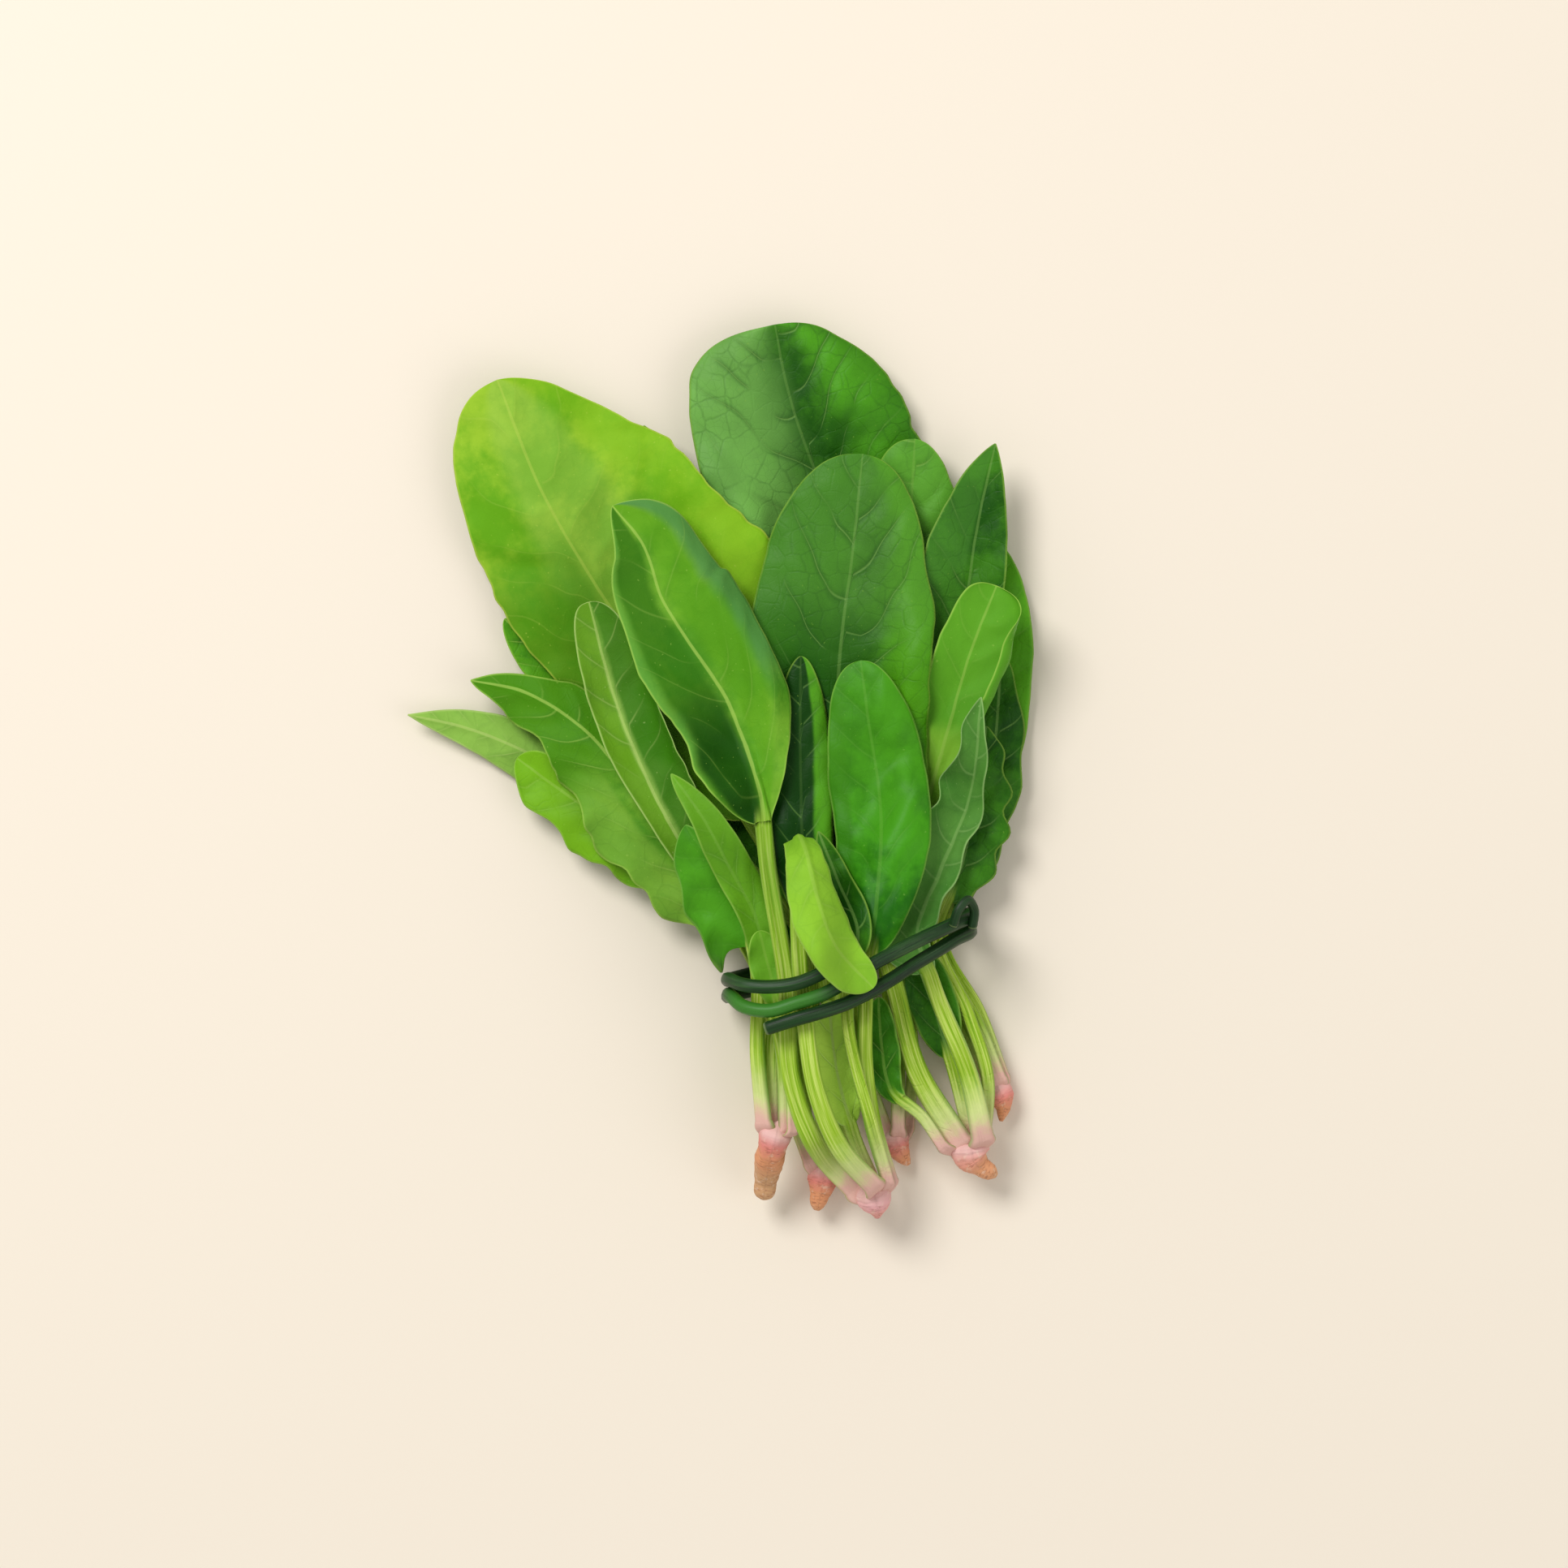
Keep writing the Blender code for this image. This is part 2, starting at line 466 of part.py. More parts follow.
def tubeSkin(line, radii, sides):
    """A closed tube along a line, with a pole at each end."""
    ahead = unit(np.gradient(line, axis=0))
    normal = np.zeros_like(line)
    guide = np.array((0.0, 0.0, 1.0)) if abs(ahead[0][2]) < 0.8 else np.array((0.0, 1.0, 0.0))
    for i, direction in enumerate(ahead):
        guide = unit(guide - direction * np.dot(guide, direction))
        normal[i] = guide
    other = np.cross(ahead, normal)
    turn = 2 * np.pi * np.arange(sides) / sides
    ring = np.cos(turn)[:, None] * normal[:, None, :] + np.sin(turn)[:, None] * other[:, None, :]
    rings = line[:, None, :] + ring * np.asarray(radii, float)[:, None, None]
    vertices = np.concatenate((rings.reshape(-1, 3), line[:1], line[-1:]))
    count = len(line)
    faces = []
    for i in range(count - 1):
        for j in range(sides):
            a = i * sides + j
            b = i * sides + (j + 1) % sides
            faces.append((a, b, b + sides))
            faces.append((a, b + sides, a + sides))
    for j in range(sides):
        k = (j + 1) % sides
        faces.append((count * sides, k, j))
        faces.append((count * sides + 1, (count - 1) * sides + j, (count - 1) * sides + k))
    return vertices, np.array(faces)


def readMap(field, x, y):
    """Height map value at any place, between cell middles."""
    u = (x - MAP_CORNER[0]) / CELL - 0.5
    v = (y - MAP_CORNER[1]) / CELL - 0.5
    i = np.clip(np.floor(u).astype(int), 0, MAP_CELLS[0] - 2)
    j = np.clip(np.floor(v).astype(int), 0, MAP_CELLS[1] - 2)
    a = np.clip(u - i, 0.0, 1.0)
    b = np.clip(v - j, 0.0, 1.0)
    return ((1 - a) * (1 - b) * field[i, j] + a * (1 - b) * field[i + 1, j]
            + (1 - a) * b * field[i, j + 1] + a * b * field[i + 1, j + 1])


def sampleSkin(vertices, faces):
    """Points spread over every triangle, closer together than the cells."""
    corner = vertices[faces]
    longest = np.max(np.linalg.norm(corner - np.roll(corner, 1, axis=1), axis=2), axis=1)
    out = []
    for low, high in ((0.0, 3.0), (3.0, 6.0), (6.0, 12.0), (12.0, 24.0), (24.0, 200.0)):
        chosen = corner[(longest > low) & (longest <= high)]
        if not len(chosen):
            continue
        count = int(math.ceil(min(high, float(longest.max())) / (0.7 * CELL)))
        steps = np.array([(i, j) for i in range(count + 1) for j in range(count + 1 - i)]) / count
        weight = np.stack((steps[:, 0], steps[:, 1], 1.0 - steps.sum(axis=1)), axis=1)
        out.append((weight[None] @ chosen).reshape(-1, 3))
    return np.concatenate(out)


def skinMap(samples, highest):
    """Highest or lowest point of a skin over every cell."""
    empty = -1e3 if highest else 1e3
    field = np.full(MAP_CELLS, empty)
    i = np.clip(((samples[:, 0] - MAP_CORNER[0]) / CELL).astype(int), 0, MAP_CELLS[0] - 1)
    j = np.clip(((samples[:, 1] - MAP_CORNER[1]) / CELL).astype(int), 0, MAP_CELLS[1] - 1)
    (np.maximum if highest else np.minimum).at(field, (i, j), samples[:, 2])
    return field


def widen(field, reach):
    """The largest value within reach cells, over a square."""
    for axis in (0, 1):
        field = np.max([np.roll(field, k, axis=axis) for k in range(-reach, reach + 1)], axis=0)
    return field


def blur(field, reach):
    for axis in (0, 1):
        field = np.mean([np.roll(field, k, axis=axis) for k in range(-reach, reach + 1)], axis=0)
    return field


def gentleLift(need, reach):
    """A smooth field that is nowhere under the lift that is needed."""
    return blur(blur(widen(need, 2 * reach), reach), reach)


def settle(pieces, ground, rows=None, weights=1.0):
    """Raise pieces together until they clear the ground under them."""
    for attempt in range(SETTLE_ROUNDS):
        low = np.full(MAP_CELLS, 1e3)
        for piece in pieces:
            faces = piece.facesOf(*rows) if rows else piece.faces
            low = np.minimum(low, skinMap(sampleSkin(piece.vertices(), faces), False))
        need = np.where(low < 900.0, ground + GAP - low, 0.0)
        need = np.maximum(need, 0.0)
        if need.max() < 0.05:
            return
        reach = max(SMOOTH_REACH - attempt, 2)
        lift = gentleLift(need, reach)
        if attempt == SETTLE_ROUNDS - 1:
            lift = np.full(MAP_CELLS, need.max())
        for piece in pieces:
            if rows:
                piece.lift(lift, weights)
            else:
                piece.lift(lift)


def pile(ground, pieces, rows=None):
    """The ground with the tops of the pieces added, widened by a cell."""
    for piece in pieces:
        faces = piece.facesOf(*rows) if rows and isinstance(piece, Sheet) else piece.faces
        top = skinMap(sampleSkin(piece.vertices(), faces), True)
        ground = np.maximum(ground, widen(top, 1))
    return ground


def seatPoint(plant, seat):
    """Where a leaf starts: beside its neighbours, just clear of the crown."""
    crown = np.array(plant.crown[0], float)
    axis = unit(crown - np.array(plant.crown[1], float))
    side = unit(np.cross(axis, (0.0, 0.0, 1.0)))
    return tuple(crown + axis * SEAT_CLEAR + side * seat[0] + np.array((0.0, 0.0, seat[1])))


def buildPlant(plant, ground):
    """A plant's leaves laid over each other, then the plant laid on the pile."""
    own = np.full(MAP_CELLS, -1e3)
    sheets = []
    for leaf in plant.leaves:
        sheet = Sheet(leaf, seatPoint(plant, leaf.seat))
        rows = (0, BENT_FROM_ROW) if leaf.name == BENT_OVER else None
        settle([sheet], own, rows)
        own = pile(own, [sheet], rows)
        sheets.append(sheet)
    crown = Solid(plant.name, "root_skin", plant.crown, plant.girths, ROOT_SIDES)
    settle([sheet for sheet in sheets if sheet.name != BENT_OVER] + [crown], ground)
    full = ground
    for sheet in sheets:
        rows = (0, BENT_FROM_ROW) if sheet.name == BENT_OVER else None
        settle([sheet], full, rows)
        full = pile(full, [sheet], rows)
    feet = np.mean([sheet.middle[0, :, 2].mean() for sheet in sheets])
    crown.points[:, 2] += feet - crown.points[:ROOT_SIDES, 2].mean()
    settle([crown], ground)
    return sheets + [crown], pile(full, [crown])


def backRuns():
    """The tie's two straight runs under the stalks, right to left."""
    return [[(TIE_RIGHT - BACK_IN, right - BACK_DROP), (TIE_LEFT + BACK_IN, left + BACK_DROP)]
            for right, left in zip(RIGHT_SIDES, LEFT_SIDES)]


def tieBed():
    """The floor, with the room that the tie's back runs take."""
    ground = np.full(MAP_CELLS, -GAP - FLOOR_PRESS)
    for run in backRuns():
        line = curveThrough([(x, y, STRAND_RADIUS) for x, y in run], np.linspace(0.0, 1.0, 40))
        bed = Solid("bed", "", line, [STRAND_RADIUS] * len(line), STRAND_SIDES)
        ground = pile(ground, [bed])
    return ground


def overStalks(run, ground, count):
    """A front run laid over the stalks under it, rising and falling smoothly."""
    flat = curveThrough(run, np.linspace(0.0, 1.0, count))
    high = readMap(widen(ground, 2), flat[:, 0], flat[:, 1]) + STRAND_RADIUS + GAP
    padded = np.pad(high, 2 * OVER_REACH, mode="edge")
    wide = np.max([padded[k:k + count + 2 * OVER_REACH] for k in range(2 * OVER_REACH + 1)], axis=0)
    smooth = np.mean([wide[k:k + count] for k in range(2 * OVER_REACH + 1)], axis=0)
    return [(x, y, z) for (x, y), z in zip(flat, smooth)]


def buildTie(ground):
    """One strand: front run, right side, back run, left side, and round again."""
    cut = overStalks(RUN_CUT, ground, 24)
    middle = overStalks(RUN_MIDDLE, ground, 26)
    hidden = overStalks(RUN_HIDDEN, ground, 12)
    route = []
    for front, after, index in ((cut, middle, 0), (middle, hidden, 1)):
        route += front[::3] + [front[-1]]
        right = RIGHT_SIDES[index]
        left = LEFT_SIDES[index]
        top = front[-1][2]
        route += [(TIE_RIGHT - SIDE_IN, right - SIDE_IN, top - SIDE_DOWN),
                  (TIE_RIGHT, right, 0.5 * top + SIDE_MIDDLE_UP),
                  (TIE_RIGHT - SIDE_IN, right, STRAND_RADIUS + SIDE_UP)]
        (x0, y0), (x1, y1) = backRuns()[index]
        low = STRAND_RADIUS - STRAND_PRESSED
        route += [(x0 + (x1 - x0) * k / 4, y0 + (y1 - y0) * k / 4, low) for k in range(5)]
        top = after[0][2]
        route += [(TIE_LEFT + SIDE_IN, left, STRAND_RADIUS + SIDE_UP),
                  (TIE_LEFT, left, 0.5 * top + SIDE_MIDDLE_UP),
                  (TIE_LEFT + SIDE_IN, left, top - SIDE_DOWN)]
    route += hidden[::3] + [hidden[-1]]
    route = np.array(route)
    length = np.sum(np.linalg.norm(np.diff(route, axis=0), axis=1))
    line = curveThrough(route, np.linspace(0.0, 1.0, int(length / STRAND_STEP)))
    radii = np.full(len(line), STRAND_RADIUS)
    return Solid("tie_strand", "tie_green", line, radii, STRAND_SIDES)


def pressed(piece):
    """The piece's vertices, flattened where it touches the plane it lies on."""
    vertices = piece.vertices().copy()
    vertices[:, 2] = np.maximum(vertices[:, 2], 0.0)
    return vertices


def material(tone):
    found = bpy.data.materials.get(tone)
    if found:
        return found
    colour, roughness = TONES[tone]
    made = bpy.data.materials.new(tone)
    made.use_nodes = True
    principled = made.node_tree.nodes["Principled BSDF"]
    principled.inputs["Base Color"].default_value = (*colour, 1.0)
    principled.inputs["Roughness"].default_value = roughness
    principled.inputs["Metallic"].default_value = 0.0
    return made


def addObject(piece, middle):
    vertices = pressed(piece) - middle
    mesh = bpy.data.meshes.new(piece.name)
    mesh.from_pydata((vertices * METRE).tolist(), [], piece.faces.tolist())
    mesh.materials.append(material(piece.tone))
    mesh.shade_smooth()
    mesh.set_sharp_from_angle(angle=math.radians(50.0))
    bpy.context.collection.objects.link(bpy.data.objects.new(piece.name, mesh))


def main():
    clearScene()
    ground = tieBed()
    pieces = []
    for plant in PLANTS:
        made, ground = buildPlant(plant, ground)
        pieces += made
    tie = buildTie(ground)
    pieces.append(tie)
    ground = pile(ground, [tie])
    bent = next(piece for piece in pieces if piece.name == BENT_OVER)
    count = len(bent.middle)
    weights = smoothStep((np.arange(count) - BENT_FROM_ROW) / 2.0)
    settle([bent], ground, (BENT_FROM_ROW + 1, count - 1), weights)
    low = np.min([pressed(piece).min(axis=0) for piece in pieces], axis=0)
    high = np.max([pressed(piece).max(axis=0) for piece in pieces], axis=0)
    middle = np.array([(low[0] + high[0]) / 2, (low[1] + high[1]) / 2, 0.0])
    for piece in pieces:
        addObject(piece, middle)


main()
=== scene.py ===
import math

import bpy
import numpy as np
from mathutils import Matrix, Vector


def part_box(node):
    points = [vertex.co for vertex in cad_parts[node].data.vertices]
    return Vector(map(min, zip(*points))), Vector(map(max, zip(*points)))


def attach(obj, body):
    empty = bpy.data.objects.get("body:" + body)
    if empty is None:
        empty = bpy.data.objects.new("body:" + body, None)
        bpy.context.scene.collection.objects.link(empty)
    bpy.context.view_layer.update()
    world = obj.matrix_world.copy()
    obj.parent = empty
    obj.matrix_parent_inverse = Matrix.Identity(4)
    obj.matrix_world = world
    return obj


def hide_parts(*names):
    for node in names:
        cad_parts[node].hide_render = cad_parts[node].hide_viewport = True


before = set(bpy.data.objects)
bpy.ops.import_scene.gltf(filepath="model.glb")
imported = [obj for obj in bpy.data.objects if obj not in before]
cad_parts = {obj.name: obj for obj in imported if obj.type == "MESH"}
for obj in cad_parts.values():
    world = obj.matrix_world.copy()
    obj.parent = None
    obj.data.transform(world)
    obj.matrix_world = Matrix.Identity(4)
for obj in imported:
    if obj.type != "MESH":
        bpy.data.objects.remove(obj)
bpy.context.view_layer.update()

# A tied bunch of long-stalked leaves with their roots, lying on its back.
# Lengths are millimetres from the middle of the tie until a piece is made.
print("frame loaded:", len(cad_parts), "nodes")

lay = {
    "cell": 1.0,  # height map on which the pieces are laid over each other
    "corner": (-155.0, -95.0),
    "cells": (230, 315),
    "reach": 4,  # cells over which a push upwards is smoothed
    "rounds": 7,
    "settled": 0.05,  # a need for room that is left as it is
    "far": 1000.0,  # height that stands for nothing there
    "room": 0.42,  # half thickness that a blade takes up in the pile
    "gap": 0.4,
    "press": 0.12,  # how far the pile reaches under the floor, as the visible blades are thinner
    "seatClear": 1.9,  # how far above the crown a stalk starts
    "bentLeaf": "leaf_over_tie",  # laid over the tie after the tie is made
    "bentFrom": 0.585,  # share of its length that lies under the tie
    "bentOver": 0.06,  # share over which it starts to rise
}

blade = {
    "half": 0.2,  # half thickness of the visible blade
    "rim": 0.1,  # half thickness at its margin
    "rowStep": 1.15,
    "columnStep": 1.25,
    "stalkStep": 1.9,
    "veinDepth": 0.34,
    "pucker": 0.62,
    "crumple": 0.5,
    "edgeRipple": 0.8,
    "lobeBend": 6.0,  # higher values bend back less of the blade beside its margin
    "smallNick": 0.022,  # shares of the half width that a ragged margin comes in and out
    "largeNick": 0.034,
}


def smoothStep(x):
    x = np.clip(x, 0.0, 1.0)
    return x * x * (3.0 - 2.0 * x)


def unit(vectors):
    return vectors / np.maximum(np.linalg.norm(vectors, axis=-1, keepdims=True), 1e-9)


def grain(x, y, seed):
    # smooth noise from -1 to 1 over a plane
    table = np.random.default_rng(seed).uniform(-1.0, 1.0, (64, 64))
    i = np.floor(x).astype(int)
    j = np.floor(y).astype(int)
    u = smoothStep(x - i)
    v = smoothStep(y - j)
    low = table[i % 64, j % 64] * (1 - u) + table[(i + 1) % 64, j % 64] * u
    high = table[i % 64, (j + 1) % 64] * (1 - u) + table[(i + 1) % 64, (j + 1) % 64] * u
    return low * (1 - v) + high * v


def walked(points):
    # how far along a line each of its points is
    return np.concatenate(([0.0], np.cumsum(np.linalg.norm(np.diff(points, axis=0), axis=1))))


def arc(u, span, start, leaving, end, arriving):
    # a smooth curve between two points, with a given direction at both
    return ((1 + 2 * u) * (1 - u) ** 2 * start + u * (1 - u) ** 2 * span * leaving
            + u * u * (3 - 2 * u) * end + u * u * (u - 1) * span * arriving)


def turns(sides):
    return 2 * np.pi * np.arange(sides) / sides


def curveThrough(points, shares):
    # a smooth curve through given points, at shares of its length
    points = np.array(points, float)
    knots = walked(points)
    slopes = np.gradient(points, knots, axis=0)
    fine = np.linspace(0.0, knots[-1], 50 * len(points))
    k = np.clip(np.searchsorted(knots, fine, side="right") - 1, 0, len(knots) - 2)
    span = (knots[k + 1] - knots[k])[:, None]
    u = (fine[:, None] - knots[k][:, None]) / span
    line = arc(u, span, points[k], slopes[k], points[k + 1], slopes[k + 1])
    steps = walked(line)
    marks = np.asarray(shares) * steps[-1]
    return np.stack([np.interp(marks, steps, line[:, axis]) for axis in range(line.shape[1])], axis=1)


def leaf(name, look, seat, spine, stalk, left, right, **more):
    # the spine runs from just above the crown to the tip
    made = {"name": name, "look": look, "seat": seat, "spine": spine, "stalk": stalk, "left": left,
            "right": right, "fold": 8.0, "cup": 15.0, "curl": (0.0, 0.0), "curlFrom": 0.6,
            "roll": (0.0, 0.0), "wave": 1.2, "waves": 2.5, "scallop": 0.02, "back": (0.0, 0.0),
            "girth": 2.3, "foot": 1.0, "faceUp": True, "side": None,
            # how rough its margin and its surface are
            "ragged": 1.0, "crumple": 1.0,
            # how strongly its veins and midrib show, how strong the painted shade beside them is, how
            # soft its bands are, bands between two shares of the half width (left is negative) that begin
            # and may end at a distance from its base, and lengths that change colour along the blade
            "veins": 1.0, "midrib": 0.6, "sunk": 1.0, "soft": 0.07, "bands": [], "lengths": []}
    made.update(more)
    return made


def plant(root, crown, girths, leaves):
    # the crown line runs from the leaf seats down to the root tip
    return {"root": root, "crown": crown, "girths": girths, "leaves": leaves}


behind = plant("root_behind", [(15, -52.5, 4.9), (16, -56.5, 4.7), (17.6, -59.5, 4.5),
    (19, -61.5, 4.4)], [4.4, 4.2, 3, 1.6], [
    leaf("leaf_back_middle", "leaf_mid", (-5.4, -1.2), [(4, -28, 6), (0, 2, 7.2), (-16, 45, 2),
        (-32, 85, 0.4), (-44, 118, 1.5)], 0.36, (17, 0.6, 0.6), (18, 0.6, 0.6), cup=6, girth=1.9),
    leaf("leaf_back_right", "leaf_mid", (5.4, -1.2), [(21, -28, 6), (18, 5, 7.2), (21, 45, 2),
        (20, 85, 0.4), (16, 118, 1.5)], 0.34, (17, 0.6, 0.6), (18, 0.6, 0.6), cup=6, girth=1.9),
    leaf("leaf_left_peek", "leaf_light", (-1.8, -1.2), [(3, -26, 6), (-6, 3, 7.2), (-22, 60, 5),
        (-40, 120, 5), (-64, 171, 9)], 0.45, (12, 0.8, 0.8), (14, 0.8, 0.8), fold=20, girth=1.9),
    # its grey-green band along the left half is painted sheen
    leaf("leaf_top_broad", "leaf_dark", (1.8, -1.2), [(16, -28, 6), (12, 4, 7.2), (17, 60, 6), (13, 105, 6),
        (0, 136, 7), (-12, 162, 9), (-19, 184, 12), (-22.6, 202.5, 13)], 0.56, (34, 1, 0.34),
        (35, 0.5, 0.42), fold=10, cup=-22, wave=1.5, ragged=0.8, crumple=1.3, veins=1, midrib=0.25,
        soft=0.3, bands=[(-1.5, -0.25, (122, 182, 84), 0.7, 30), (0.35, 0.9, (82, 164, 26), 0.65, 0)]),
])

farRight = plant("root_far_right", [(47, -37, 5), (48.6, -41, 4.8), (49.4, -44.5, 4.6),
    (49, -47.5, 4.4)], [4.6, 4.4, 2.6, 1.2], [
    leaf("leaf_right_edge", "leaf_mid", (-1.4, -1.2), [(36, -18, 7), (24, 6, 8), (35, 50, 6), (43, 90, 5),
        (47, 134, 7)], 0.36, (13, 0.6, 0.6), (16, 0.6, 0.55), cup=-10, girth=1.9, veins=0.6, midrib=0.4,
        bands=[(-0.3, 1.3, (92, 170, 26), 0.7, -20)]),
    leaf("leaf_top_peek", "leaf_mid", (-5, 2.2), [(30, -16, 10), (16, 5, 11), (15, 70, 10), (19, 120, 10),
        (21.5, 166.5, 13)], 0.52, (15, 0.8, 0.42), (16, 0.8, 0.5), cup=-20, girth=1.9, veins=0.7,
        midrib=0.2, lengths=[(30, 66, (104, 172, 56), 0.6)]),
    leaf("leaf_right_ribbed", "leaf_dark", (3.4, -1.2), [(42, -14, 7), (30.4, 8, 7.4), (38, 36, 8),
        (46, 66, 8), (49, 99, 9)], 0.4, (9, 0.5, 0.6), (10.5, 0.45, 0.6), cup=-25, wave=1.6, waves=4,
        scallop=0.08, girth=1.9, crumple=1.5),
    leaf("leaf_right_point", "leaf_dark", (1.6, 2.4), [(40, -16, 10), (22, 8, 11), (29, 55, 11),
        (36, 100, 11), (41, 138, 14), (46.8, 165, 17)], 0.42, (19, 0.8, 0.8), (13, 0.8, 0.8), fold=14,
        cup=8, girth=2.1, foot=1.2, ragged=1.4, crumple=1.4, veins=0.9, midrib=0.4,
        bands=[(-1.3, -0.1, (78, 144, 46), 0.5, 0)]),
])

backLeft = plant("root_back_left", [(-7, -63, 5), (-7.6, -67.5, 4.8), (-8.4, -71.5, 4.4),
    (-9.2, -75.5, 4)], [4.6, 4.4, 3.2, 2.2], [
    leaf("leaf_back_left", "leaf_mid", (-4.2, -1.2), [(-15, -28, 6), (-18, 2, 7.2), (-36, 42, 2),
        (-58, 74, 0.4), (-74, 98, 1.5)], 0.38, (13, 0.6, 0.6), (18, 0.6, 0.6), cup=6, girth=1.9),
    leaf("leaf_left_notch", "leaf_light", (0, -1.2), [(-10, -28, 6), (-12, 3, 7.2), (-48, 50, 6),
        (-84, 88, 5), (-108, 110, 8)], 0.5, (12, 0.8, 0.6), (12, 0.8, 0.7), girth=1.9, ragged=2.0,
        crumple=1.8),
    leaf("leaf_far_left", "leaf_pale", (-2.4, 2.4), [(-20, -26, 8), (-24, 2, 8), (-55, 34, 6), (-92, 63, 5),
        (-120, 75.5, 6), (-138.5, 79.7, 8)], 0.5, (9.5, 0.8, 0.9), (9.5, 0.8, 0.9), fold=-12, cup=5,
        faceUp=False, girth=1.9, veins=0.6, midrib=0.5, bands=[(-1.3, 1.3, (140, 190, 74), 0.6, 0)]),
    leaf("leaf_low_left", "leaf_light", (-5.4, 2), [(-24, -26, 8), (-28.5, 0, 8), (-44, 22, 7),
        (-65, 40, 6), (-86, 53, 7), (-104, 66, 8)], 0.5, (15, 0.5, 0.5), (13, 0.6, 0.5), wave=1.8, waves=4,
        scallop=0.1, girth=2, ragged=3.0, crumple=2.0, veins=0.6, midrib=0.4,
        lengths=[(10, 40, (124, 182, 24), 0.75)]),
    leaf("leaf_left_great", "leaf_yellow", (3, 2.2), [(-4, -26, 10), (-9, 4, 12), (-34, 52, 11),
        (-60, 92, 10), (-80, 122, 11), (-96, 150, 14), (-110, 185, 16)], 0.42, (29.5, 0.55, 0.4),
        (54, 0.45, 0.62), fold=-7, cup=-8, wave=1.8, waves=2.5, scallop=0.03, faceUp=False, ragged=0.9,
        crumple=1.3, veins=0.25, midrib=0.35, soft=0.14, bands=[(-0.35, 0.45, (152, 194, 76), 0.45, 10),
        (0.62, 1.3, (118, 178, 16), 0.6, 0), (-1.5, 0, (66, 130, 4), 0.8, -20, 104)]),
])

leftPlant = plant("root_left", [(-22, -50.5, 9), (-23.2, -55, 8.4), (-24.4, -61, 7.6),
    (-25.4, -67, 6.8), (-26, -71.8, 6)], [6, 4.8, 4.3, 3.6, 2.8], [
    leaf("leaf_left_long", "leaf_lit", (0, -1.4), [(-22, -28, 10), (-22, 0, 12), (-38, 20, 14),
        (-54, 38, 14), (-68, 58, 14), (-84, 76, 14), (-102, 87, 13), (-118.5, 90.5, 13)], 0.36,
        (19, 0.45, 0.75), (14, 0.5, 0.8), fold=-10, cup=-10, wave=2, waves=4, scallop=0.09, faceUp=False,
        foot=1.1, ragged=3.6, crumple=2.4, veins=0.6, midrib=0.6,
        bands=[(-1.3, -0.3, (128, 176, 58), 0.6, -20)], lengths=[(52, 78, (68, 134, 4), 0.9)]),
    leaf("leaf_left_rolled", "leaf_pale", (-2.6, 2.4), [(-24, -26, 13), (-24, 0, 15), (-38, 18, 18),
        (-50, 36, 19), (-63, 60, 19), (-73, 85, 20), (-81, 115, 22)], 0.34, (9, 0.9, 0.3), (17, 0.6, 0.45),
        fold=14, cup=6, curl=(20, 50), curlFrom=0.38, wave=0.5, faceUp=False, foot=1.3, veins=0.5,
        midrib=0.45, bands=[(-1.3, -0.05, (100, 154, 24), 0.85, 0), (0.1, 1.3, (56, 118, 8), 0.85, 0)]),
    leaf("leaf_left_lobed", "leaf_bright", (-4.8, 0.4), [(-28, -28, 12), (-28.5, 1, 15), (-31, 12, 18),
        (-36, 23, 20), (-43, 34, 21), (-50.5, 45, 21)], 0.56, (15.5, 0.35, 0.6), (4.5, 0.5, 0.6),
        back=(15, 0), cup=-8, scallop=0.05, waves=3, girth=2.2, foot=1.1, ragged=1.2, crumple=0.8,
        veins=0.4, midrib=0.2, bands=[(-1.3, 1.3, (84, 160, 28), 0.6, -20)]),
    leaf("leaf_left_sliver", "leaf_mid", (3.4, 2.4), [(-20, -26, 14), (-25.5, -2, 16), (-28, 14, 20),
        (-37, 32, 22), (-45, 47, 22), (-55, 61, 22)], 0.4, (5.5, 0.45, 0.6), (8, 0.5, 0.7), fold=18, cup=6,
        foot=1.4, veins=0.4, midrib=0.2, bands=[(-1.3, 1.3, (114, 174, 34), 0.65, -20)]),
    leaf("leaf_left_bud", "leaf_light", (4.8, 0), [(-18, -28, 12), (-22, -10, 15), (-27.5, 12, 20)], 0.6,
        (6, 0.6, 0.5), (6, 0.6, 0.5), girth=1.9, veins=0.3, midrib=0.3,
        bands=[(-1.3, 1.3, (118, 178, 44), 0.7, -20)]),
])

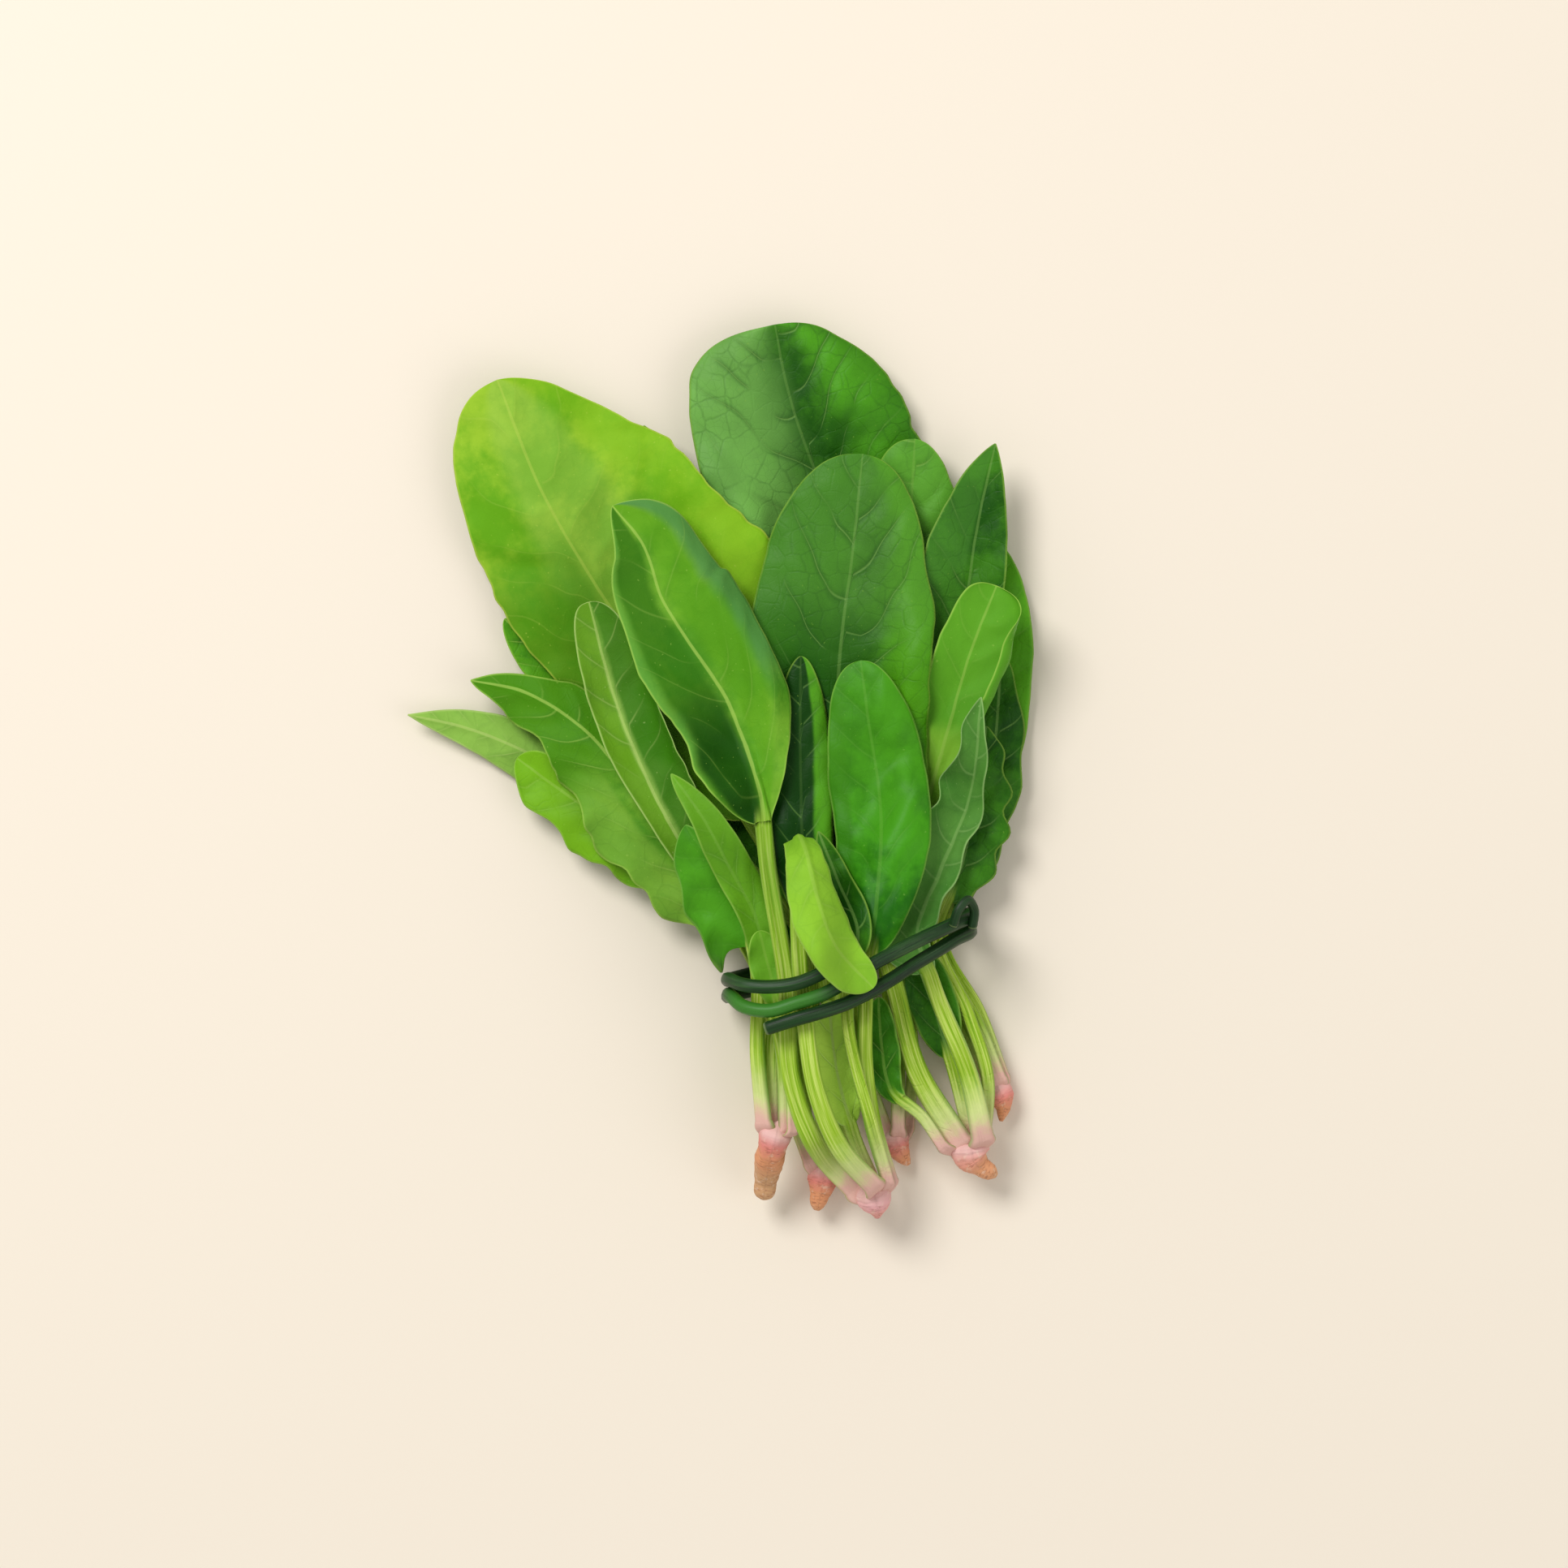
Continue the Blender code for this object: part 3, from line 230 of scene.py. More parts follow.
rightPlant = plant("root_right", [(38.5, -55.5, 9), (39.3, -59.4, 8.4), (42.4, -62.8, 7.4),
    (46.2, -65, 6.4)], [6.8, 5.8, 3.3, 2], [
    leaf("leaf_right_low", "leaf_dark", (5.6, -1.4), [(44.5, -36, 11), (38, -14, 12), (28, 10, 12.5),
        (36, 32, 14), (41, 54, 15), (44, 76, 16)], 0.58, (9, 0.5, 0.6), (11, 0.4, 0.6), cup=-14, wave=1.6,
        waves=4.5, scallop=0.14, girth=2.1, ragged=1.4, crumple=1.5),
    leaf("leaf_right_curled", "leaf_lit", (-4.4, -1.4), [(24, -36, 11), (15.6, 4, 12), (24, 46, 15),
        (32, 75, 18), (38.5, 98, 21), (47, 120, 23)], 0.5, (11.5, 1, 0.32), (18, 1.2, 0.32), fold=10,
        curl=(0, 110), curlFrom=0.55, roll=(0, 8), girth=2.5, faceUp=False, foot=1.1, veins=0.2,
        midrib=0.35, bands=[(-1.5, 1.5, (130, 186, 50), 0.7, -20)],
        lengths=[(40, 47, (78, 154, 26), 0.75)]),
    leaf("leaf_tucked_dark", "leaf_dark", (0.6, -1.4), [(34, -34, 11), (28, -14, 12), (21, 7, 14)], 0.42,
        (8, 0.5, 0.5), (8, 0.5, 0.5), girth=1.9, fold=14, cup=5, crumple=1.8),
    # the dark band near its midrib, low on the blade, is painted shade in its central valley, and the
    # grey-green towards its tip is painted sheen
    leaf("leaf_centre_oval", "leaf_dark", (-3, 2.4), [(22, -32, 14), (14.5, -4, 16), (4, 30, 17),
        (-3, 68, 17), (-2, 100, 19), (2, 132, 20), (5, 161.5, 19)], 0.36, (30.5, 0.42, 0.4),
        (29.5, 0.4, 0.46), fold=8, cup=-22, wave=1.4, waves=3, girth=2.9, foot=1.4, ragged=0.7, crumple=1.4,
        veins=0.9, midrib=0.35, soft=0.2, bands=[(-1.3, -0.1, (42, 106, 8), 0.75, 20),
        (0.55, 1.3, (84, 160, 14), 0.65, 0), (-0.55, 0.4, (20, 76, 2), 0.7, -20, 96)],
        lengths=[(72, 104, (86, 146, 50), 0.5)]),
    leaf("leaf_young_dark", "leaf_mid", (-8.6, 0.6), [(24, -47, 12), (14, -38, 13), (11, -24, 14),
        (10, -9, 15)], 0.36, (5.5, 0.5, 0.5), (5.5, 0.5, 0.5), girth=1.9, wave=1.5, waves=4, ragged=1.6,
        crumple=2.6, veins=1, midrib=0.5, bands=[(-1.5, 1.5, (62, 128, 26), 0.8, -20)]),
    leaf("leaf_right_pale", "leaf_glaucous", (4.6, 2.4), [(39, -36, 14), (26.5, -4, 16), (22, 10, 18),
        (29, 30, 20), (38, 52, 20), (42, 85, 20)], 0.38, (14, 0.4, 0.7), (6, 0.5, 0.8), fold=16,
        curl=(30, 0), wave=1.6, waves=5, scallop=0.14, girth=2.6, faceUp=False, foot=1.4, ragged=2.6,
        crumple=2.2, veins=0.5, midrib=0.3, bands=[(-1.5, 1.5, (74, 126, 46), 0.6, -20)]),
])

frontPlant = plant("root_front", [(8, -69.5, 9), (8.8, -73, 8.4), (9.4, -76, 7.6),
    (9.6, -77.6, 7.2)], [5.8, 5.6, 3.6, 1.8], [
    leaf("leaf_centre_dark", "leaf_dark", (-3.6, -1.6), [(-1, -44, 11), (-3, -4, 14), (-13, 30, 17),
        (-14.5, 60, 18), (-14.5, 98, 18)], 0.45, (10, 0.6, 0.6), (10, 0.6, 0.5), cup=-20, girth=2.1,
        veins=0.6, midrib=0.1, bands=[(-1.5, 0.4, (10, 56, 2), 0.95, -20),
        (0.45, 1.3, (86, 160, 26), 0.8, 0)]),
    # its band is painted lighter than the leaf itself, as painted light against the shade of the stalks over
    # it
    leaf("leaf_young_pale", "leaf_pale", (1, -1.6), [(2, -52, 11), (-3, -34, 12), (-6, -10, 13)], 0.34,
        (8, 0.5, 0.5), (8, 0.5, 0.5), girth=2, wave=1.8, waves=4, ragged=1.6, crumple=2.6, veins=1,
        midrib=0.8, sunk=0.25, bands=[(-1.5, 1.5, (182, 222, 82), 0.95, -20)]),
    leaf("leaf_front_oval", "leaf_bright", (5.8, -1.6), [(8, -48, 11), (6, -8, 14), (8.5, 14, 17),
        (10.8, 48, 20), (6.5, 80, 22), (4.4, 96.5, 22)], 0.44, (15.5, 0.5, 0.42), (16, 0.55, 0.48), fold=6,
        cup=-26, wave=0.8, foot=1.15, ragged=0.4, crumple=0.9, veins=0.3, midrib=0.25,
        bands=[(-1.3, -0.6, (46, 112, 8), 0.6, -20)], lengths=[(30, 66, (76, 150, 24), 0.5)]),
    leaf("leaf_centre_sliver", "leaf_dark", (5.4, 2.4), [(8, -50, 14), (0, -8, 17), (3.5, 12, 20),
        (-3, 28, 22), (-9, 43, 23)], 0.62, (5, 0.6, 0.7), (5, 0.6, 0.7), girth=1.9),
    # its left half is darkened with painted shade, darkest low down, and the strip beyond its right fold is
    # painted a darker blue-green as painted shade and painted sky reflection
    leaf("leaf_front_folded", "leaf_lit", (-6, 1.6), [(-7.5, -59, 12), (-17, -36, 14), (-19, -4, 17),
        (-24.5, 30, 20), (-28, 56, 22), (-38.6, 86, 24), (-48, 100, 25), (-58, 116, 26), (-64, 133, 27),
        (-73.5, 145, 28)], 0.52, (20, 0.5, 0.7), (26, 0.95, 0.68), fold=16, cup=4, curl=(0, -72),
        curlFrom=0.5, wave=0.9, waves=3, scallop=0.04, girth=2.7, faceUp=False, foot=1.25, veins=0.3,
        midrib=0.6, soft=0.12, bands=[(-0.85, -0.1, (40, 106, 4), 0.75, -20),
        (-1.3, -0.85, (96, 160, 62), 0.6, 20), (-0.9, -0.1, (14, 64, 2), 0.9, -20, 42),
        (0.06, 0.6, (94, 162, 20), 0.65, -20), (0.62, 1.3, (78, 136, 66), 0.85, 42)]),
    leaf("leaf_over_tie", "leaf_lit", (0.4, 2.6), [(-1.5, -57, 15), (-9, -40, 16), (-13.4, -14, 18),
        (-15.2, 10, 20), (-15.4, 24, 22), (-15.6, 34, 23), (-15.2, 41, 30), (-13.2, 37, 38), (-9.6, 22, 37),
        (-4, 7.5, 34), (8, -5.5, 32)], 0.56, (9.5, 1, 0.4), (7.5, 1, 0.4), girth=2.5, wave=0.8,
        side=(1, 0.25, 0), foot=1.35, ragged=2.2, veins=0.35, midrib=0.3,
        bands=[(-1.3, 1.3, (142, 196, 48), 0.8, -20)]),
])

plants = [behind, farRight, backLeft, leftPlant, rightPlant, frontPlant]


def bladeWidth(share, half, base, tip):
    # half width of a blade that swells from its base and closes at its tip
    peak = base / (base + tip)
    crest = peak ** base * (1.0 - peak) ** tip
    return half * share ** base * (1.0 - share) ** tip / crest


def crossSection(side, fold, cup, curl, curlFrom):
    # offsets out and up along one half of a blade of width 1
    fine = np.linspace(0.0, 1.0, 61)
    angle = fold * (1.0 - np.exp(-fine / 0.08)) + cup * fine
    angle = np.radians(angle + curl * smoothStep((fine - curlFrom) / (0.75 * (1.0 - curlFrom))))
    step = fine[1]
    out = np.concatenate(([0.0], np.cumsum(0.5 * step * (np.cos(angle[1:]) + np.cos(angle[:-1])))))
    up = np.concatenate(([0.0], np.cumsum(0.5 * step * (np.sin(angle[1:]) + np.sin(angle[:-1])))))
    return np.interp(side, fine, out), np.interp(side, fine, up)


def veinCount(leaf, along, across, halfWidth):
    # rises by one from each side vein to the next, on both sides of the midrib
    pitch = leaf["pitch"]
    reach = np.abs(across)
    lean = 0.85 * reach + 0.35 * reach ** 2 / np.maximum(halfWidth, 6.0)
    seed = leaf["seed"]
    sway = 0.5 * grain(along / 30.0, across / 21.0 + 40.0, seed) * np.minimum(reach / 6.0, 1.0)
    sway = sway + 0.12 * grain(along / 9.0, across / 8.0 + 60.0, seed) * np.minimum(reach / 6.0, 1.0)
    return (along - lean) / pitch + np.where(across > 0, 0.0, 0.42) + sway


def relief(leaf, along, across, halfWidth, share):
    # height of the sunken veins and of the soft pillows between them, and the count of veins
    count = veinCount(leaf, along, across, halfWidth)
    reach = np.abs(across) / np.maximum(halfWidth, 1.0)
    offVein = np.abs(count - np.round(count)) * leaf["pitch"] * 0.75
    inBlade = smoothStep(share / 0.1) * smoothStep((1.0 - share) / 0.08)
    spread = (1.0 - 0.75 * reach) * np.minimum(halfWidth / 12.0, 1.0)
    groove = np.exp(-(offVein / 1.15) ** 2) * spread
    pillow = np.sin(np.pi * np.clip(count - np.floor(count), 0, 1)) ** 2
    pillow = pillow * np.sin(np.pi * np.clip(reach, 0, 1)) * np.minimum(halfWidth / 20.0, 1.0)
    seed = leaf["seed"]
    small = grain(along / 6.5, across / 6.5, seed + 1) + 0.5 * grain(along / 3.2, across / 3.2, seed + 2)
    large = grain(along / 17.0, across / 15.0 + 9.0, seed + 3)
    face = 1.0 if leaf["faceUp"] else -1.0
    height = face * (blade["pucker"] * pillow - blade["veinDepth"] * groove)
    crumple = leaf["crumple"] * blade["crumple"] * (0.28 * small + 0.8 * large)
    height = height + crumple * np.minimum(halfWidth / 15.0, 1.0)
    return height * inBlade, count


class Sheet:
    # a leaf as a grid of middle points with a thickness above and below

    def __init__(self, leaf, start):
        self.leaf = leaf
        self.name = leaf["name"]
        rough = curveThrough([start] + leaf["spine"], np.linspace(0.0, 1.0, 60))
        length = float(np.sum(np.linalg.norm(np.diff(rough, axis=0), axis=1)))
        stalkLength = length * leaf["stalk"]
        bladeLength = length - stalkLength
        stalkRows = max(int(stalkLength / blade["stalkStep"]), 8)
        bladeRows = int(bladeLength / blade["rowStep"] * 1.2)
        width = leaf["left"][0] + leaf["right"][0]
        half = max(int(width / blade["columnStep"] / 2), 8)
        even = np.linspace(-1.0, 1.0, 2 * half + 1)
        stalkShares = np.linspace(0.0, leaf["stalk"], stalkRows, endpoint=False)
        rise = (1.0 - np.cos(np.pi * np.arange(bladeRows + 1) / bladeRows)) / 2.0
        shares = np.concatenate((stalkShares, leaf["stalk"] + (1.0 - leaf["stalk"]) * rise))
        self.shares = shares
        centre = curveThrough([start] + leaf["spine"], shares)
        ahead = unit(np.gradient(centre, axis=0))
        if leaf["side"]:
            aside = np.tile(np.array(leaf["side"], float), (len(shares), 1))
            aside = unit(aside - ahead * np.sum(aside * ahead, axis=1, keepdims=True))
        else:
            aside = unit(np.cross(ahead, (0.0, 0.0, 1.0)))
        above = np.cross(aside, ahead)
        blades = np.clip((shares - leaf["stalk"]) / (1.0 - leaf["stalk"]), 0.0, 1.0)
        bank = np.radians(leaf["roll"][0] + (leaf["roll"][1] - leaf["roll"][0]) * blades)[:, None]
        aside, above = (aside * np.cos(bank) + above * np.sin(bank),
                        above * np.cos(bank) - aside * np.sin(bank))
        swell = 1.0 + (leaf["foot"] - 1.0) * (1.0 - np.clip(shares / leaf["stalk"], 0.0, 1.0)) ** 2
        rib = leaf["girth"] * np.where(blades > 0, 0.8 * (1.0 - blades) ** 0.7, swell)
        join = smoothStep(blades / 0.08)
        tipRib = np.maximum(rib, 0.9 - 0.6 * smoothStep((blades - 0.9) / 0.1))
        rib = np.where(blades > 0, (1 - join) * leaf["girth"] + join * tipRib, rib)
        along = (shares - leaf["stalk"]) * length
        middle = np.zeros((len(shares), len(even), 3))
        bulge, self.across, self.rim, self.sides, self.widths = np.zeros((5,) + middle.shape[:2])
        seed = leaf["seed"]
        halves = (leaf["left"], leaf["right"])
        for i, share in enumerate(blades):
            ramp = float(smoothStep(share / 0.12))
            fade = float(smoothStep(share / 0.35) * (1.0 - 0.75 * smoothStep((share - 0.82) / 0.18)))
            mix = float(smoothStep(share / 0.1))
            row = (1 - mix) * np.sin(0.5 * np.pi * even) + mix * even
            for sign, shape, curl, back in zip((-1, 1), halves, leaf["curl"], leaf["back"]):
                mine = even * sign >= 0
                s = np.abs(row[mine])
                edge = 1.0 + leaf["scallop"] * ramp * math.sin(
                    2 * np.pi * leaf["waves"] * share + 1.7 * sign)
                nick = blade["smallNick"] * leaf["ragged"] * grain(along[i] / 4.5, sign * 7.3, seed + 4)
                nick += blade["largeNick"] * leaf["ragged"] * grain(along[i] / 11.0, sign * 3.1, seed + 5)
                edge += nick * ramp
                wide = bladeWidth(share, *shape) if share > 0 else 0.0
                width = math.hypot(rib[i], edge * wide)
                out, up = crossSection(
                    s, leaf["fold"] * ramp, leaf["cup"] * ramp, curl * fade, leaf["curlFrom"])
                ripple = leaf["wave"] * ramp * (width / shape[0]) * s ** 2 * np.sin(
                    2 * np.pi * (leaf["waves"] * share + 0.13 * sign + 0.1 * len(leaf["name"])))
                frill = blade["edgeRipple"] * leaf["crumple"] * ramp * s ** 4 * grain(
                    np.full(s.shape, along[i] / 7.0), s * 0.6 + 5.0 * sign, seed + 6) * min(wide / 10.0, 1.0)
                sweep = back * ramp * (1.0 - share) ** 3 * s ** blade["lobeBend"]
                middle[i, mine] = (
                    centre[i] + sign * width * out[:, None] * aside[i]
                    + (width * up + ripple + frill)[:, None] * above[i] - sweep[:, None] * ahead[i])
                rounded = np.sqrt(np.clip(1.0 - (width * s / rib[i]) ** 2, 0.0, 1.0))
                bulge[i, mine] = rounded * max(0.85 * min(rib[i], leaf["girth"]) - lay["room"], 0.0)
                self.across[i, mine] = sign * width * s
                self.rim[i, mine] = width * (1.0 - s)
                self.sides[i, mine] = s
                self.widths[i, mine] = width
        columns = (along, blades, rib, shares * length)
        self.along, self.blades, self.rib, self.stem = (
            np.repeat(column[:, None], len(even), axis=1) for column in columns)
        self.middle = middle
        self.bulge = bulge
        height, self.count = relief(leaf, self.along, self.across, self.widths, self.blades)
        self.middle = self.middle + self.normals() * height[..., None]
        inBlade = smoothStep(self.blades / 0.25)
        self.upShare = 1.0 - 0.7 * inBlade if leaf["faceUp"] else np.ones_like(inBlade)
        self.downShare = np.ones_like(inBlade) if leaf["faceUp"] else 1.0 - 0.7 * inBlade

    def normals(self):
        along = np.gradient(self.middle, axis=0)
        over = np.gradient(self.middle, axis=1)
        normal = unit(np.cross(over, along))
        level = unit(normal.mean(axis=1, keepdims=True))
        span = np.linalg.norm(self.middle[:, -1] - self.middle[:, 0], axis=1)
        narrow = smoothStep(1.6 - span / 10.0)[:, None, None]
        return unit(normal * (1.0 - narrow) + level * narrow)

    def skins(self, half):
        normal = self.normals()
        top = self.middle + normal * (half + self.bulge * self.upShare)[..., None]
        bottom = self.middle - normal * (half + self.bulge * self.downShare)[..., None]
        return top, bottom

    def samples(self, rows=None):
        # the skin as it counts in the pile
        top, bottom = self.skins(lay["room"])
        if rows is not None:
            top = top[rows]
            bottom = bottom[rows]
        return np.concatenate((top.reshape(-1, 3), bottom.reshape(-1, 3)))

    def lift(self, field, weights=1.0):
        share = np.asarray(weights, float)
        if share.ndim:
            share = share[:, None]
        self.middle[..., 2] += share * readMap(field, self.middle[..., 0], self.middle[..., 1])


def tubePoints(line, radii, sides):
    # rings of points round a line
    ahead = unit(np.gradient(line, axis=0))
    normal = np.zeros_like(line)
    guide = np.array((0.0, 0.0, 1.0)) if abs(ahead[0][2]) < 0.8 else np.array((0.0, 1.0, 0.0))
    for i, direction in enumerate(ahead):
        guide = unit(guide - direction * np.dot(guide, direction))
        normal[i] = guide
    other = np.cross(ahead, normal)
    turn = turns(sides)[None, :, None]
    ring = np.cos(turn) * normal[:, None, :] + np.sin(turn) * other[:, None, :]
    radii = np.asarray(radii, float)
    if radii.ndim == 1:
        radii = radii[:, None]
    return line[:, None, :] + ring * radii[:, :, None]


class Body:
    # a round piece in the pile, which is sampled and lifted as a whole

    def __init__(self, name, line, radii):
        self.name = name
        self.line = np.array(line, float)
        self.radii = np.asarray(radii, float)

    def samples(self, rows=None):
        steps = max(len(self.line) * 4, 24)
        shares = np.linspace(0.0, 1.0, steps)
        at = shares * (len(self.line) - 1)
        own = np.arange(len(self.line))
        radii = np.interp(at, own, self.radii)
        line = np.stack([np.interp(at, own, self.line[:, k]) for k in range(3)], axis=1)
        return tubePoints(line, radii, 24).reshape(-1, 3)

    def lift(self, field, weights=1.0):
        self.line[:, 2] += readMap(field, self.line[:, 0], self.line[:, 1])


def readMap(field, x, y):
    # height map value at any place, between cell middles
    u = (x - lay["corner"][0]) / lay["cell"] - 0.5
    v = (y - lay["corner"][1]) / lay["cell"] - 0.5
    i = np.clip(np.floor(u).astype(int), 0, lay["cells"][0] - 2)
    j = np.clip(np.floor(v).astype(int), 0, lay["cells"][1] - 2)
    a = np.clip(u - i, 0.0, 1.0)
    b = np.clip(v - j, 0.0, 1.0)
    return ((1 - a) * (1 - b) * field[i, j] + a * (1 - b) * field[i + 1, j]
            + (1 - a) * b * field[i, j + 1] + a * b * field[i + 1, j + 1])


def skinMap(points, highest):
    # highest or lowest point of a skin over every cell
    field = np.full(lay["cells"], -lay["far"] if highest else lay["far"])
    i = np.clip(((points[:, 0] - lay["corner"][0]) / lay["cell"]).astype(int), 0, lay["cells"][0] - 1)
    j = np.clip(((points[:, 1] - lay["corner"][1]) / lay["cell"]).astype(int), 0, lay["cells"][1] - 1)
    (np.maximum if highest else np.minimum).at(field, (i, j), points[:, 2])
    return field


def neighbours(field, reach, gather):
    # every cell takes the highest or the mean value of the cells round it
    for axis in (0, 1):
        field = gather([np.roll(field, k, axis=axis) for k in range(-reach, reach + 1)], axis=0)
    return field


def settle(pieces, ground, rows=None, weights=1.0):
    # raise pieces together until they clear the ground under them
    for attempt in range(lay["rounds"]):
        low = np.full(lay["cells"], lay["far"])
        for piece in pieces:
            low = np.minimum(low, skinMap(piece.samples(rows), False))
        need = np.where(low < 0.9 * lay["far"], ground + lay["gap"] - low, 0.0)
        need = np.maximum(need, 0.0)
        if need.max() < lay["settled"]:
            return
        reach = max(lay["reach"] - attempt, 2)
        lift = neighbours(need, 2 * reach, np.max)
        lift = neighbours(neighbours(lift, reach, np.mean), reach, np.mean)
        if attempt == lay["rounds"] - 1:
            lift = np.full(lay["cells"], need.max())
        for piece in pieces:
            piece.lift(lift, weights)


def pile(ground, pieces, rows=None):
    for piece in pieces:
        ground = np.maximum(ground, neighbours(skinMap(piece.samples(rows), True), 1, np.max))
    return ground


def seatPoint(plant, seat, clear):
    # where a leaf starts: beside its neighbours, at the crown
    crown = np.array(plant["crown"][0], float)
    axis = unit(crown - np.array(plant["crown"][1], float))
    side = unit(np.cross(axis, (0.0, 0.0, 1.0)))
    return tuple(crown + axis * clear + side * seat[0] + np.array((0.0, 0.0, seat[1])))


def restingRows(sheet):
    # the part of the bent leaf that lies under the tie, and None for a leaf that lies as a whole
    return sheet.shares <= lay["bentFrom"] if sheet.name == lay["bentLeaf"] else None


def buildPlant(plant, ground):
    # a plant's leaves laid over each other, then the plant laid on the pile
    own = np.full(lay["cells"], -lay["far"])
    sheets = []
    for spec in plant["leaves"]:
        sheet = Sheet(spec, seatPoint(plant, spec["seat"], lay["seatClear"]))
        rows = restingRows(sheet)
        settle([sheet], own, rows)
        own = pile(own, [sheet], rows)
        sheets.append(sheet)
    crown = Body(plant["root"], plant["crown"], plant["girths"])
    settle([sheet for sheet in sheets if sheet.name != lay["bentLeaf"]] + [crown], ground)
    full = ground
    for sheet in sheets:
        rows = restingRows(sheet)
        settle([sheet], full, rows)
        full = pile(full, [sheet], rows)
    feet = np.mean([sheet.middle[0, :, 2].mean() for sheet in sheets])
    crown.line[:, 2] += feet - crown.line[0, 2]
    settle([crown], ground)
    return sheets, crown, pile(full, [crown])


tie = {
    "radius": 2.2,
    "step": 0.9,
    "pressed": 0.3,  # how far its back runs are flattened by the floor
    "left": -36.4,
    "right": 38.5,
    "leftSides": (-8.8, -3.6),  # where along the bunch each turn goes round a side
    "rightSides": (11.6, 16.6),
    # how a turn rounds a side: inwards, down from the front run and up from the back run
    "inset": 0.6,
    "shoulder": 3.6,
    "heel": 3.0,
    # how far from the sides the back runs end, and how much they slant
    "tuck": 4.0,
    "slant": 0.8,
    # front runs from left to right: the cut end, the middle one and the hidden end
    "runCut": [(-25.5, -18.5), (-15, -15), (-2, -11.2), (9.8, -5.4), (22.4, 2.4), (34.5, 9.6)],
    "runMiddle": [(-33, -11.2), (-27, -12.8), (-15.7, -10.2), (-4, -6), (5, 0), (20, 8),
                  (34.5, 14.6)],
    "runHidden": [(-33, -4.6), (-20.6, -5.2), (-9, -1.6), (-2.5, 2.4)],
    "knot": [(33, 13.6, 1.5), (35, 19, 3.2), (37.4, 21.6, 2.2), (39.6, 19, -1),
             (39.2, 13, -3.5)],  # the bend at its other end, over the strand's top
    "knotRadius": 1.5,
}


def backRuns():
    # the tie's two straight runs under the stalks, right to left
    return [[(tie["right"] - tie["tuck"], right - tie["slant"]),
             (tie["left"] + tie["tuck"], left + tie["slant"])]
            for right, left in zip(tie["rightSides"], tie["leftSides"])]


def tieBed():
    # the floor, with the room that the tie's back runs take
    ground = np.full(lay["cells"], -lay["gap"] - lay["press"])
    for run in backRuns():
        line = curveThrough([(x, y, tie["radius"]) for x, y in run], np.linspace(0.0, 1.0, 40))
        ground = pile(ground, [Body("bed", line, [tie["radius"]] * len(line))])
    return ground


def overStalks(run, ground, count):
    # a front run laid over the stalks under it, rising and falling smoothly
    flat = curveThrough(run, np.linspace(0.0, 1.0, count))
    high = readMap(neighbours(ground, 2, np.max), flat[:, 0], flat[:, 1])
    high = high + tie["radius"] + lay["gap"]
    reach = 5
    padded = np.pad(high, 2 * reach, mode="edge")
    wide = np.max([padded[k:k + count + 2 * reach] for k in range(2 * reach + 1)], axis=0)
    smooth = np.mean([wide[k:k + count] for k in range(2 * reach + 1)], axis=0)
    return [(x, y, z) for (x, y), z in zip(flat, smooth)]


def tieRoute(ground):
    # one strand: front run, right side, back run, left side, and round again
    cut = overStalks(tie["runCut"], ground, 24)
    middle = overStalks(tie["runMiddle"], ground, 26)
    hidden = overStalks(tie["runHidden"], ground, 12)
    route = []
    for front, after, index in ((cut, middle, 0), (middle, hidden, 1)):
        route += front[::3] + [front[-1]]
        right = tie["rightSides"][index]
        left = tie["leftSides"][index]
        top = front[-1][2]
        x = tie["right"]
        route += [(x - tie["inset"], right - tie["inset"], top - tie["shoulder"]),
                  (x, right, 0.5 * top + 1.0), (x - tie["inset"], right, tie["radius"] + tie["heel"])]
        (x0, y0), (x1, y1) = backRuns()[index]
        low = tie["radius"] - tie["pressed"]
        route += [(x0 + (x1 - x0) * k / 4, y0 + (y1 - y0) * k / 4, low) for k in range(5)]
        top = after[0][2]
        x = tie["left"]
        route += [(x + tie["inset"], left, tie["radius"] + tie["heel"]), (x, left, 0.5 * top + 1.0),
                  (x + tie["inset"], left, top - tie["shoulder"])]
    return np.array(route + hidden[::3] + [hidden[-1]])


def numberLeaves():
    # every leaf gets its own seed and vein spacing
    for k, spec in enumerate(spec for plant in plants for spec in plant["leaves"]):
        width = spec["left"][0] + spec["right"][0]
        spec["seed"] = 100 + 10 * k
        spec["pitch"] = 9.0 + 0.14 * width


numberLeaves()
ground = tieBed()
sheets = []
crowns = []
for one in plants:
    made, crown, ground = buildPlant(one, ground)
    sheets += made
    crowns.append((one, crown))
route = tieRoute(ground)
tieLength = np.sum(np.linalg.norm(np.diff(route, axis=0), axis=1))
tieLine = curveThrough(route, np.linspace(0.0, 1.0, int(tieLength / tie["step"])))
ground = pile(ground, [Body("tie", tieLine, [tie["radius"]] * len(tieLine))])
bent = next(sheet for sheet in sheets if sheet.name == lay["bentLeaf"])
weights = smoothStep((bent.shares - lay["bentFrom"]) / lay["bentOver"])
settle([bent], ground, bent.shares > lay["bentFrom"] + 0.02, weights)
# then as high as its node, which bends a little less closely over the tie
top = 1000.0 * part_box(bent.name)[1][2]
bent.middle[..., 2] += weights[:, None] * (top - bent.samples()[:, 2].max())
print("laid", len(sheets), "leaves and", len(crowns), "crowns")


class Wire:
    # a node's output that can stand in sums and products

    def __init__(self, board, socket):
        self.board = board
        self.socket = socket

    def maths(self, operation, first, second=0.0):
        return self.board.node("ShaderNodeMath", {"operation": operation}, {0: first, 1: second})

    def __abs__(self):
        return self.maths("ABSOLUTE", self)

    def rise(self, low, high, start, end):
        return self.board.node("ShaderNodeMapRange", {"interpolation_type": "SMOOTHSTEP"},
                               {0: self, 1: low, 2: high, 3: start, 4: end})

    def above(self, low, high):
        # 0 below low, 1 above high, smooth between
        return self.rise(low, high, 0.0, 1.0)

    def below(self, low, high):
        return self.rise(low, high, 1.0, 0.0)


